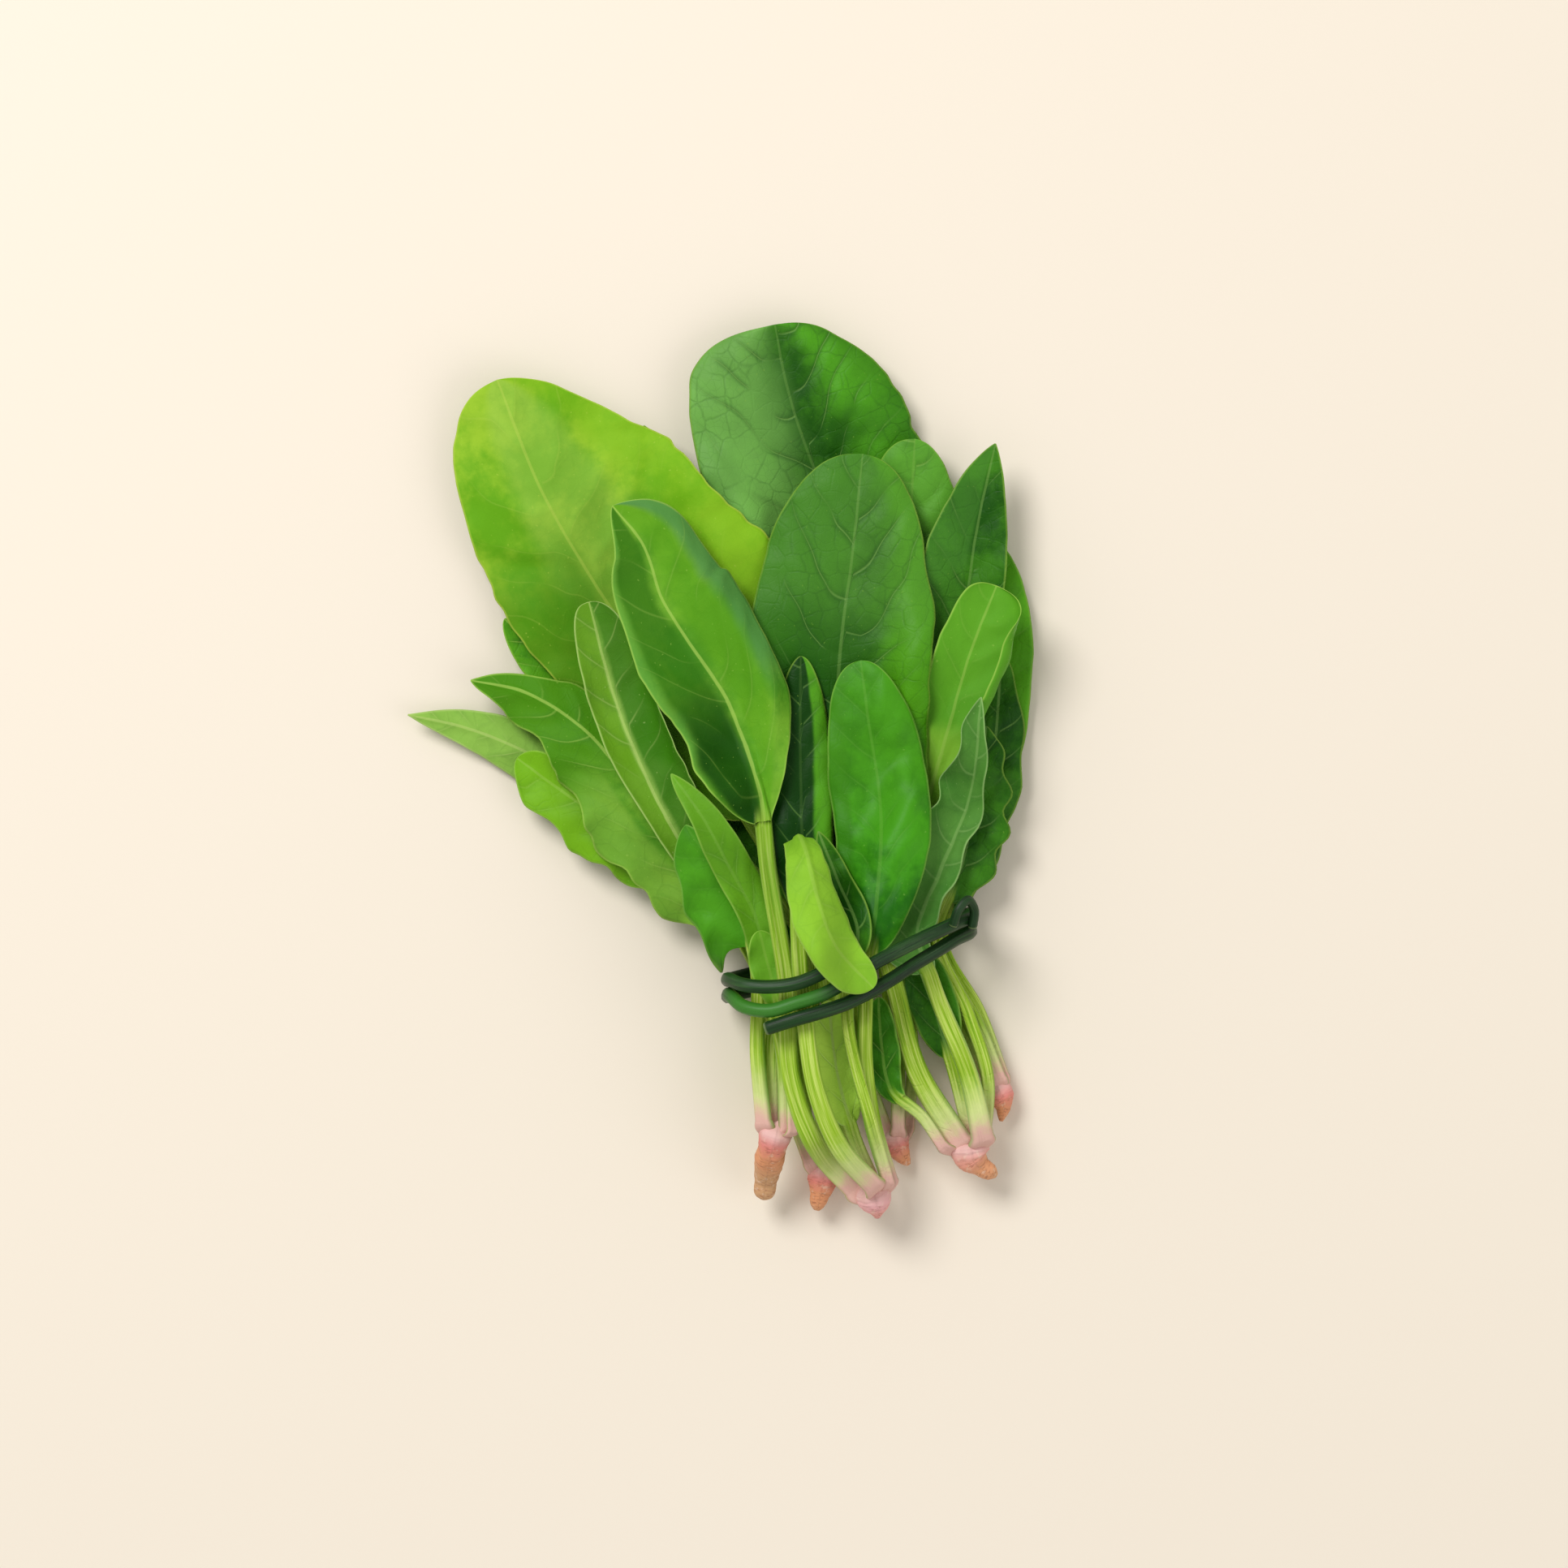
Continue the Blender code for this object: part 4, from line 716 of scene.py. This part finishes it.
for sign, kind in (("add", "ADD"), ("sub", "SUBTRACT"), ("mul", "MULTIPLY"), ("truediv", "DIVIDE")):
    # a wire on the left, and a wire on the right of a number
    setattr(Wire, f"__{sign}__", lambda wire, other, kind=kind: wire.maths(kind, wire, other))
    setattr(Wire, f"__r{sign}__", lambda wire, other, kind=kind: wire.maths(kind, other, wire))


class Board:
    # the nodes of one material

    def __init__(self, name):
        self.material = bpy.data.materials.new(name)
        self.material.use_nodes = True
        self.tree = self.material.node_tree
        self.shader = self.tree.nodes["Principled BSDF"]

    def node(self, kind, settings=None, inputs=None, output=0):
        made = self.tree.nodes.new(kind)
        for key, value in (settings or {}).items():
            setattr(made, key, value)
        for key, value in (inputs or {}).items():
            self.plug(made.inputs[key], value)
        return Wire(self, made.outputs[output])

    def plug(self, socket, value):
        if isinstance(value, Wire):
            self.tree.links.new(value.socket, socket)
        else:
            socket.default_value = linear(value) if isinstance(value, tuple) else value

    def mix(self, factor, first, second):
        return self.node("ShaderNodeMix", {"data_type": "RGBA"}, {0: factor, 6: first, 7: second}, 2)

    def coats(self, base, *coats):
        # colours laid over a base, each with its share
        for share, colour in coats:
            base = self.mix(share, base, colour)
        return base

    def attribute(self, name):
        return self.node("ShaderNodeAttribute", {"attribute_name": name}, output="Vector")

    def split(self, vector):
        return [self.node("ShaderNodeSeparateXYZ", {}, {0: vector}, k) for k in range(3)]

    def place(self, x, y, z):
        return self.node("ShaderNodeCombineXYZ", {}, {0: x, 1: y, 2: z})

    def noise(self, vector, scale, detail=2.0, rough=0.5):
        return self.node("ShaderNodeTexNoise", {}, {
            "Vector": vector, "Scale": scale, "Detail": detail, "Roughness": rough})

    def cells(self, vector, scale):
        # distance to the edges of irregular cells
        return self.node("ShaderNodeTexVoronoi", {"feature": "DISTANCE_TO_EDGE"},
                         {"Vector": vector, "Scale": scale, "Randomness": 0.9}, "Distance")

    def bump(self, height, strength, distance):
        return self.node("ShaderNodeBump", {}, {
            "Strength": strength, "Distance": distance, "Height": height}, "Normal")

    def finish(self, colour, roughness, normal, gloss=0.5):
        self.plug(self.shader.inputs["Specular IOR Level"], gloss)
        self.plug(self.shader.inputs["Base Color"], colour)
        self.plug(self.shader.inputs["Roughness"], roughness)
        self.plug(self.shader.inputs["Normal"], normal)
        return self.material


def linear(colour):
    # a colour as seen on screen, from 0 to 255, in the linear values that shaders take
    shares = [value / 255.0 for value in colour]
    return tuple(s / 12.92 if s < 0.04045 else ((s + 0.055) / 1.055) ** 2.4 for s in shares) + (1.0,)


# colours of the upper face, of the underside, of veins and rims, and of the painted shade beside sunken
# veins, as seen on screen
looks = {
    "leaf_dark": {"top": (60, 124, 20), "deep": (26, 80, 6), "under": (98, 150, 56), "vein": (116, 160, 76),
        "creaseShade": (30, 74, 22), "rim": (128, 168, 62), "rough": 0.41},
    "leaf_mid": {"top": (72, 144, 24), "deep": (36, 102, 8), "under": (108, 164, 58),
        "vein": (138, 182, 80), "creaseShade": (44, 94, 26), "rim": (134, 178, 70), "rough": 0.43},
    "leaf_bright": {"top": (66, 150, 20), "deep": (28, 100, 6), "under": (112, 170, 60),
        "vein": (110, 170, 62), "creaseShade": (36, 92, 20), "rim": (130, 182, 74), "rough": 0.39},
    "leaf_light": {"top": (92, 164, 22), "deep": (56, 128, 12), "under": (126, 180, 60),
        "vein": (150, 192, 76), "creaseShade": (58, 110, 28), "rim": (150, 194, 74), "rough": 0.46},
    "leaf_lit": {"top": (86, 150, 34), "deep": (52, 114, 22), "under": (116, 172, 44),
        "underDeep": (74, 140, 26), "vein": (164, 200, 88), "creaseShade": (60, 116, 26), "rim": (160, 200, 84),
        "rough": 0.47},
    "leaf_yellow": {"top": (110, 164, 36), "deep": (66, 132, 20), "under": (150, 194, 46),
        "underDeep": (98, 164, 18), "vein": (182, 206, 84), "creaseShade": (92, 146, 26), "rim": (184, 208, 80),
        "rough": 0.51},
    "leaf_pale": {"top": (96, 148, 50), "deep": (56, 104, 26), "under": (140, 180, 78),
        "underDeep": (100, 152, 46), "vein": (180, 206, 112), "creaseShade": (76, 122, 42), "rim": (176, 204, 116),
        "rough": 0.51},
    "leaf_glaucous": {"top": (76, 132, 50), "deep": (46, 100, 28), "under": (98, 158, 62),
        "underDeep": (58, 124, 34), "vein": (146, 186, 106), "creaseShade": (52, 98, 40), "rim": (156, 194, 118),
        "rough": 0.51},
}

# what all blades share: scales of their patterns, and how strongly each part shows
bladeLook = {
    "patches": 0.036,
    "flecks": 0.3,
    "wideCells": 0.15,
    "smallCells": 0.42,
    # how strong the painted shade beside sunken veins is
    "shadeBesideVein": 0.42,
    "net": 0.3,
    "vein": 0.5,
    "rim": 0.65,
    "specks": 0.3,
    "bump": 0.6,
    "bumpDepth": 0.0004,
    "gloss": 0.12,
}

stalkLook = {
    "green": (150, 188, 44),
    "streak": (200, 220, 110),
    "shade": (98, 150, 24),
    "high": (106, 156, 36),  # what the stalks turn to towards the blades
    "highFrom": 60.0,
    "highTo": 110.0,
    "white": (210, 218, 148),
    "pink": (226, 170, 168),
    "pinkTo": 2.0,  # millimetres up from the crown
    "whiteTo": 22.0,
}


def leafMaterial(spec):
    look = looks[spec["look"]]
    board = Board(spec["name"])
    along, across, count = board.split(board.attribute("place"))
    rim, stem, rib = board.split(board.attribute("reach"))
    upper = board.split(board.attribute("upper"))[0]
    seed = float(spec["seed"])
    flat = board.place(along, across, seed)
    reach = abs(across)

    patches = board.noise(flat, bladeLook["patches"], 3.0, 0.55)
    flecks = board.noise(flat, bladeLook["flecks"], 3.0, 0.6)
    # patches between the deep and the top colour, at random places: partly the blade's own uneven tone,
    # partly painted sheen and painted shade
    toneAndSheen = (patches * 0.8 + flecks * 0.2).above(0.38, 0.6)
    topColour = board.mix(toneAndSheen, look["deep"], look["top"])
    underColour = board.mix(toneAndSheen, look.get("underDeep", look["top"]), look["under"])
    body = board.mix(upper, underColour, topColour)
    soft = spec["soft"]
    side = across / (reach + rim + 0.01) + (patches - 0.5) * soft * 3.0
    for first, last, colour, amount, low, *high in spec["bands"]:
        # a stripe between two shares of the half width, from a distance along the blade on
        inside = side.above(first - soft, first + soft) * side.below(last - soft, last + soft)
        inside = inside * along.above(low - 8.0, low + 8.0)
        if high:
            inside = inside * along.below(high[0] - 16.0, high[0] + 16.0)
        body = board.mix(inside * (0.6 + patches * 0.8) * amount, body, colour)
    for first, last, colour, amount in spec["lengths"]:
        # a change along the blade, between two distances from its base
        inside = (along + patches * 16.0 - 8.0).above(first, last)
        body = board.mix(inside * amount, body, colour)

    sway = board.noise(flat, 0.16, 2.0)
    bent = board.place(along + sway * 3.0, across + sway * 2.0, seed)
    wide = board.cells(bent, bladeLook["wideCells"])
    small = board.cells(bent, bladeLook["smallCells"])
    veins = spec["veins"]
    net = wide.below(0.0, 0.07) * 0.7 + small.below(0.0, 0.08) * 0.3
    shown = board.noise(flat, 0.055, 2.0).above(0.36, 0.58) * veins
    offVein = count.maths("PINGPONG", count, 0.5) * (spec["pitch"] * 0.75)
    fading = 1.0 - (reach / spec["widest"]).above(0.3, 0.95) * 0.85
    vein = offVein.below(0.08, 0.42) * fading * shown
    shadeBesideVein = offVein.below(0.3, 2.2) * fading * shown
    midrib = (reach / (rib * 0.34 + 0.25)).below(0.5, 1.0)

    # sunken veins: painted shade beside them and along the vein net, light along their middle
    specks = board.noise(flat, 0.9, 1.0).above(0.72, 0.77)
    body = board.coats(
        body, (shadeBesideVein * bladeLook["shadeBesideVein"] * spec["sunk"], look["creaseShade"]),
        (net * shown * bladeLook["net"] * spec["sunk"], look["creaseShade"]),
        (vein * bladeLook["vein"], look["vein"]),
        (rim.below(0.15, 0.8) * bladeLook["rim"], look["rim"]),
        (midrib * spec["midrib"], look["vein"]),
        (specks * bladeLook["specks"], look["rim"]))

    onStalk = along.below(-2.0, 7.0) * (reach / rib).below(0.75, 1.15)
    streaks = board.noise(board.place(stem * 0.035, across * 1.5, seed), 1.0, 3.0, 0.6)
    ragged = stem + board.noise(flat, 0.35) * 7.0 - 3.5
    stalk = board.coats(
        stalkLook["green"], (streaks.above(0.42, 0.68), stalkLook["streak"]),
        (streaks.below(0.3, 0.46) * 0.7, stalkLook["shade"]),
        (stem.above(stalkLook["highFrom"], stalkLook["highTo"]) * 0.55, stalkLook["high"]),
        (ragged.below(stalkLook["pinkTo"], stalkLook["whiteTo"]), stalkLook["white"]),
        (ragged.below(0.0, stalkLook["pinkTo"] + 6.0) * 0.85, stalkLook["pink"]))
    colour = board.mix(onStalk, body, stalk)

    roughness = look["rough"] + (1.0 - upper) * 0.08 + flecks * 0.1 - onStalk * 0.06
    turn = upper * 2.0 - 1.0
    height = flecks * 0.35 + onStalk * streaks * 0.9 - turn * (net * 0.4 + vein * 0.6) * veins
    normal = board.bump(height, bladeLook["bump"], bladeLook["bumpDepth"])
    return board.finish(colour, roughness, normal, bladeLook["gloss"])


def addObject(name, data):
    made = bpy.data.objects.new(name, data)
    bpy.context.scene.collection.objects.link(made)
    return made


def addMesh(name, points, faces, values, material):
    mesh = bpy.data.meshes.new(name)
    mesh.from_pydata(((points - toWorld) * 0.001).tolist(), [], faces)
    for key, data in values.items():
        layer = mesh.attributes.new(key, "FLOAT_VECTOR", "POINT")
        layer.data.foreach_set("vector", np.ascontiguousarray(data, np.float32).ravel())
    mesh.materials.append(material)
    mesh.shade_smooth()
    return addObject(name, mesh)


def show(piece, node):
    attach(piece, "root")
    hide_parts(node)


def gridFaces(rows, columns, closed=False, start=0):
    wrap = columns if closed else columns - 1
    i, j = np.meshgrid(np.arange(rows - 1), np.arange(wrap), indexing="ij")
    k = (j + 1) % columns
    a = start + i * columns + j
    b = start + i * columns + k
    return np.stack((a, b, b + columns, a + columns), axis=-1).reshape(-1, 4)


sheath = {
    "rows": 10,
    "reach": 5.0,  # how far a stalk's base runs on into the crown
    "swell": 0.32,  # how much it swells halfway
    "narrow": 0.5,  # how much it narrows at its end
    "spread": 0.5,  # share of its seat's offset that is left at its end
}


def sheathRows(sheet, skins):
    # a stalk's base carried on into the crown, as rows from the deepest up to the foot
    crown = crownOf[sheet.name]
    foot = (skins[0][0].mean(axis=0) + skins[1][0].mean(axis=0)) / 2
    ahead = unit(foot - sheet.middle[2].mean(axis=0))
    axis = unit(crown.line[1] - crown.line[0])
    end = crown.line[0] + axis * sheath["reach"]
    end[:2] += sheath["spread"] * (foot - crown.line[0])[:2]
    span = np.linalg.norm(end - foot)
    u = np.linspace(1.0, 0.0, sheath["rows"], endpoint=False)[:, None]
    line = arc(u, span, foot, ahead, end, axis)
    size = (1.0 + sheath["swell"] * np.sin(np.pi * u)) * (1.0 - sheath["narrow"] * u * u)
    more = [line[:, None, :] + size[:, :, None] * (skin[0] - foot) for skin in skins]
    return more, u[:, 0] * span


def closedTube(rings, line):
    # rings of points joined to each other, and closed by a point at both ends of their line
    rows, sides = rings.shape[:2]
    points = np.concatenate((rings.reshape(-1, 3), line[:1], line[-1:]))
    faces = gridFaces(rows, sides, closed=True).tolist()
    first = rows * sides
    last = first - sides
    for j in range(sides):
        k = (j + 1) % sides
        faces.append((first, k, j))
        faces.append((first + 1, last + j, last + k))
    return points, faces


def leafPiece(sheet):
    spec = sheet.leaf
    # the blade thins towards its rim, and the stalk is channelled along its upper side
    thin = blade["half"] - (blade["half"] - blade["rim"]) * sheet.sides ** 4
    channel = 1.0 - 0.42 * np.exp(-(sheet.across / (0.42 * np.maximum(sheet.rib, 0.5))) ** 2)
    ridges = 1.0 + 0.06 * np.cos(sheet.across / np.maximum(sheet.rib, 0.5) * 9.0)
    bulge = sheet.bulge
    sheet.bulge = bulge * channel * ridges
    top = sheet.skins(thin)[0]
    sheet.bulge = bulge * ridges
    bottom = sheet.skins(thin)[1]
    more, depths = sheathRows(sheet, (top, bottom))
    skins = [np.concatenate(pair) for pair in zip(more, (top, bottom))]
    rows, columns = skins[0].shape[:2]
    points = np.concatenate([skin.reshape(-1, 3) for skin in skins])
    count = rows * columns
    lower = gridFaces(rows, columns, start=count)[:, ::-1]
    faces = gridFaces(rows, columns).tolist() + lower.tolist()
    left = np.arange(rows) * columns
    foot = np.arange(columns)
    for edge, flip in ((left, False), (left + columns - 1, True),
                       (foot, True), (foot + (rows - 1) * columns, False)):
        for a, b in zip(edge[:-1].tolist(), edge[1:].tolist()):
            faces.append((a, a + count, b + count, b) if flip else (a, b, b + count, a + count))
    # only the distances along the leaf go on into the crown
    grids = [(sheet.along, 1.0), (sheet.across, 0.0), (sheet.count, 0.0),
             (sheet.rim, 0.0), (sheet.stem, 1.0), (sheet.rib, 0.0)]
    grids = [np.concatenate((grid[:1] - share * depths[:, None], grid)).ravel() for grid, share in grids]
    topUpper = 1.0 if spec["faceUp"] else 0.0
    values = {"place": np.tile(np.stack(grids[:3], axis=-1), (2, 1)),
              "reach": np.tile(np.stack(grids[3:], axis=-1), (2, 1)),
              "upper": np.stack([np.repeat((topUpper, 1.0 - topUpper), count)] * 3, axis=-1)}
    spec["widest"] = float(max(spec["left"][0], spec["right"][0]))
    piece = addMesh("blade_" + spec["name"][5:], points, faces, values, leafMaterial(spec))
    show(piece, spec["name"])
    return len(faces) * 2


root = {
    "sides": 48,
    "rows": 70,
    "clear": 0.05,  # height of the lowest points over the floor
    "collar": 3.0,  # how far the crown reaches up between the stalk bases
    "lobes": 0.05,  # shares of its radius that a crown goes in and out and is flattened
    "flatten": 0.12,
    "rings": 0.05,
    "lumps": 0.06,
    # colours from between the stalk bases down to the tip
    "sheath": (198, 208, 128),
    "rim": (230, 182, 176),
    "crown": (228, 132, 124),
    "skin": (222, 150, 104),
    "tip": (206, 158, 112),
    # and of its creases and pale spots
    "crease": (150, 84, 56),
    "pale": (240, 212, 190),
    "rough": 0.55,
    "bump": 0.6,
}


# crowns that are paler or pinker than the others
rootMarks = {
    "root_front": {"crown": (238, 176, 178), "skin": (232, 158, 150), "tip": (226, 150, 138)},
    "root_right": {"crown": (234, 158, 140), "skin": (226, 158, 112)},
}


def rootMaterial(name):
    board = Board(name)
    look = {**root, **rootMarks.get(name, {})}
    down, turn = board.split(board.attribute("place"))[:2]
    spot = board.attribute("spot")
    rings = board.noise(board.place(turn * 1.2, turn * 0.3, down * 1.4), 1.0, 4.0, 0.6)
    patches = board.noise(spot, 0.5, 3.0, 0.55)
    colour = board.coats(
        look["sheath"], ((down + patches * 4.0).above(-8.0, -1.0), look["rim"]),
        (down.above(0.0, 5.0), look["crown"]), ((down + patches * 4.0).above(5.0, 11.0), look["skin"]),
        ((down + patches * 6.0).above(12.0, 22.0), look["tip"]),
        (rings.below(0.36, 0.47) * down.above(1.0, 6.0) * 0.6, look["crease"]),
        (patches.above(0.56, 0.7) * 0.4, look["pale"]))
    height = rings * 0.8 + patches * 0.4
    return board.finish(colour, root["rough"] + patches * 0.15, board.bump(height, root["bump"], 0.0005))


def rootPiece(plant, crown, seed):
    line = crown.line
    axis = unit(line[0] - line[1])
    rise = root["collar"]
    top = [line[0] + axis * rise, line[0] + axis * rise * 0.5]
    route = np.array(top + list(line) + [line[-1] + unit(line[-1] - line[-2]) * 1.2])
    first = plant["girths"][0]
    girths = [first * 0.3, first * 0.62, first * 0.88] + list(plant["girths"][1:])
    girths.append(girths[-1] * 0.45)
    shares = np.linspace(0.0, 1.0, root["rows"])
    path = curveThrough(np.column_stack((route, girths)), shares)
    steps = walked(path[:, :3])
    turn = turns(root["sides"])
    down = np.repeat((steps - rise)[:, None], root["sides"], axis=1)
    around = np.repeat(turn[None, :], root["rows"], axis=0)
    x = np.cos(around) * 2.2
    y = np.sin(around) * 2.2
    rings = grain(down * 1.1, x * 0.5 + 11.0, seed) * 0.5 + grain(down * 2.6, x + y, seed + 1) * 0.35
    lumps = grain(down / 4.0 + 3.0, x + 20.0, seed + 2) + grain(down / 4.0, y + 30.0, seed + 3)
    lobed = root["lobes"] * np.cos(around * (len(plant["leaves"]) + 2) + seed)
    lobed = lobed * np.clip(1.0 - down / 6.0, 0.0, 1.0)
    radii = path[:, 3:4] * (1.0 + root["rings"] * rings * (down > 0) + root["lumps"] * lumps + lobed)
    closing = np.minimum(smoothStep(np.minimum(steps, 2.0) / 2.0) * 0.75 + 0.25, 1.0)[:, None]
    rings3d = tubePoints(path[:, :3], radii * closing, root["sides"])
    # a crown is flattened where the stalks lie side by side
    flat = 1.0 - root["flatten"] * np.clip(1.0 - down / 5.0, 0.0, 1.0)
    rings3d[..., 2] = path[:, None, 2] + (rings3d[..., 2] - path[:, None, 2]) * flat
    points, faces = closedTube(rings3d, path[:, :3])
    points[:, 2] = np.maximum(points[:, 2], root["clear"])
    place = np.stack((down, around, radii), axis=-1).reshape(-1, 3)
    place = np.concatenate((place, [(down[0, 0], 0.0, 0.0), (down[-1, 0], 0.0, 0.0)]))
    piece = addMesh("crown_" + plant["root"][5:], points, faces, {"place": place, "spot": points.copy()},
                    rootMaterial(plant["root"]))
    show(piece, plant["root"])


tieLook = {
    "sides": 20,
    "deep": (14, 36, 16),
    "body": (26, 66, 22),
    "pale": (92, 132, 76),
    "fresh": (64, 138, 36),
    "freshFrom": 205.0,  # the stretch of the strand, in millimetres, that is lighter
    "freshTo": 250.0,
    "pith": (150, 176, 110),
    "rough": 0.34,
    "bump": 0.5,
    "gloss": 0.3,
}


def tieMaterial(name):
    board = Board(name)
    along, turn, cut = board.split(board.attribute("place"))
    fibres = board.noise(board.place(along * 0.03, turn * 3.2, 1.0), 1.0, 4.0, 0.65)
    patches = board.noise(board.place(along * 0.06, turn * 0.4, 4.0), 1.0, 3.0)
    fresh = along.above(tieLook["freshFrom"], tieLook["freshFrom"] + 12.0)
    fresh = fresh * along.below(tieLook["freshTo"] - 12.0, tieLook["freshTo"])
    # the pale patches along the strand are painted highlights; its fine pale fibres are its own colour
    colour = board.coats(
        tieLook["deep"], (fibres.above(0.35, 0.6), tieLook["body"]),
        (fibres.above(0.6, 0.78) * 0.6, tieLook["pale"]), (patches.above(0.5, 0.75) * 0.25, tieLook["pale"]),
        (fresh * 0.7, tieLook["fresh"]), (cut, tieLook["pith"]))
    roughness = tieLook["rough"] + patches * 0.16
    return board.finish(colour, roughness, board.bump(fibres, tieLook["bump"], 0.0003), tieLook["gloss"])


def strand(line, radius, seed):
    # rings, faces and values of one closed strand with blunt ends
    steps = walked(line)
    turn = turns(tieLook["sides"])
    along = np.repeat(steps[:, None], len(turn), axis=1)
    around = np.repeat(turn[None, :], len(steps), axis=0)
    ribs = 0.025 * np.cos(around * 7.0 + 0.02 * along) + 0.03 * grain(along / 14.0, around * 0.8, seed)
    ends = np.minimum(steps, steps[-1] - steps)[:, None]
    blunt = 1.0 - 0.12 * np.exp(-(ends / 0.5) ** 2)
    rings = tubePoints(line, radius * (1.0 + ribs) * blunt, len(turn))
    points, faces = closedTube(rings, line)
    points[:, 2] = np.maximum(points[:, 2], 0.0)
    cut = np.zeros_like(along)
    cut[0] = 0.6
    cut[-1] = 0.6
    place = np.stack((along, around, cut), axis=-1).reshape(-1, 3)
    place = np.concatenate((place, [(0.0, 0.0, 1.0), (steps[-1], 0.0, 1.0)]))
    return points, faces, place


def tiePiece():
    points, faces, place = strand(tieLine, tie["radius"], 900)
    top = float(np.max(tieLine[np.abs(tieLine[:, 0] - tie["knot"][0][0]) < 2.0, 2]))
    knot = curveThrough([(x, y, z + top) for x, y, z in tie["knot"]], np.linspace(0.0, 1.0, 40))
    more, moreFaces, morePlace = strand(knot, tie["knotRadius"], 930)
    faces += [tuple(k + len(points) for k in face) for face in moreFaces]
    piece = addMesh("strand", np.concatenate((points, more)), faces,
                    {"place": np.concatenate((place, morePlace))}, tieMaterial("tie_strand"))
    show(piece, "tie_strand")


# the crowns are worked out as the solids were, so their nodes give the shift to the frame's origin
low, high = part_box("root_left")
leftCrown = next(crown for one, crown in crowns if one["root"] == "root_left")
rings = tubePoints(leftCrown.line, leftCrown.radii, 10).reshape(-1, 3)
toWorld = (rings.min(axis=0) + rings.max(axis=0)) / 2 - 500.0 * np.array(low + high)
toWorld[2] = 0.0
print("shift to the frame", toWorld.round(2))

crownOf = {leaf["name"]: crown for one, crown in crowns for leaf in one["leaves"]}
triangles = sum(leafPiece(sheet) for sheet in sheets)
print("leaves:", triangles, "triangles")
for k, (one, crown) in enumerate(crowns):
    rootPiece(one, crown, 700 + 10 * k)
tiePiece()
print("crowns and tie made")

setting = {
    "floor": (242, 231, 214),
    "mottle": (236, 226, 210),
    "floorSize": 4.0,
    "lens": 200.0,
    "photoWidth": 0.4965,  # metres across the photograph at the floor
    "aim": (0.0205, -0.0048),
    "sky": 0.5,
    "skyColour": (1.0, 0.985, 0.96, 1.0),
    "key": {"place": (-0.9, 1.1, 1.9), "size": 1.1, "power": 36.0},
    "fill": {"place": (1.4, -0.6, 1.5), "size": 1.6, "power": 7.0},
}


def addFloor():
    bpy.ops.mesh.primitive_plane_add(size=setting["floorSize"], location=(0.0, 0.0, 0.0))
    floor = bpy.context.object
    floor.name = "floor"
    board = Board("floor")
    mottle = board.noise(board.node("ShaderNodeTexCoord", output="Object"), 3.0, 2.0)
    colour = board.mix(mottle * 0.04, setting["floor"], setting["mottle"])
    floor.data.materials.append(board.finish(colour, 0.8, board.bump(mottle, 0.02, 0.001)))


def addLight(name, values):
    lamp = bpy.data.lights.new(name, "AREA")
    lamp.shape = "DISK"
    lamp.size = values["size"]
    lamp.energy = values["power"]
    made = addObject(name, lamp)
    made.location = values["place"]
    direction = Vector((0.0, 0.0, 0.0)) - made.location
    made.rotation_euler = direction.to_track_quat("-Z", "Y").to_euler()


def addCamera():
    camera = bpy.data.cameras.new("camera")
    camera.lens = setting["lens"]
    camera.clip_end = 20.0
    made = addObject("camera", camera)
    distance = setting["photoWidth"] * setting["lens"] / camera.sensor_width
    made.location = (*setting["aim"], distance)
    bpy.context.scene.camera = made


addFloor()
addLight("key", setting["key"])
addLight("fill", setting["fill"])
addCamera()
world = bpy.context.scene.world or bpy.data.worlds.new("world")
bpy.context.scene.world = world
world.use_nodes = True
sky = world.node_tree.nodes["Background"]
sky.inputs["Color"].default_value = setting["skyColour"]
sky.inputs["Strength"].default_value = setting["sky"]
bpy.context.scene.view_settings.view_transform = "Standard"
print("floor, lights and camera placed")
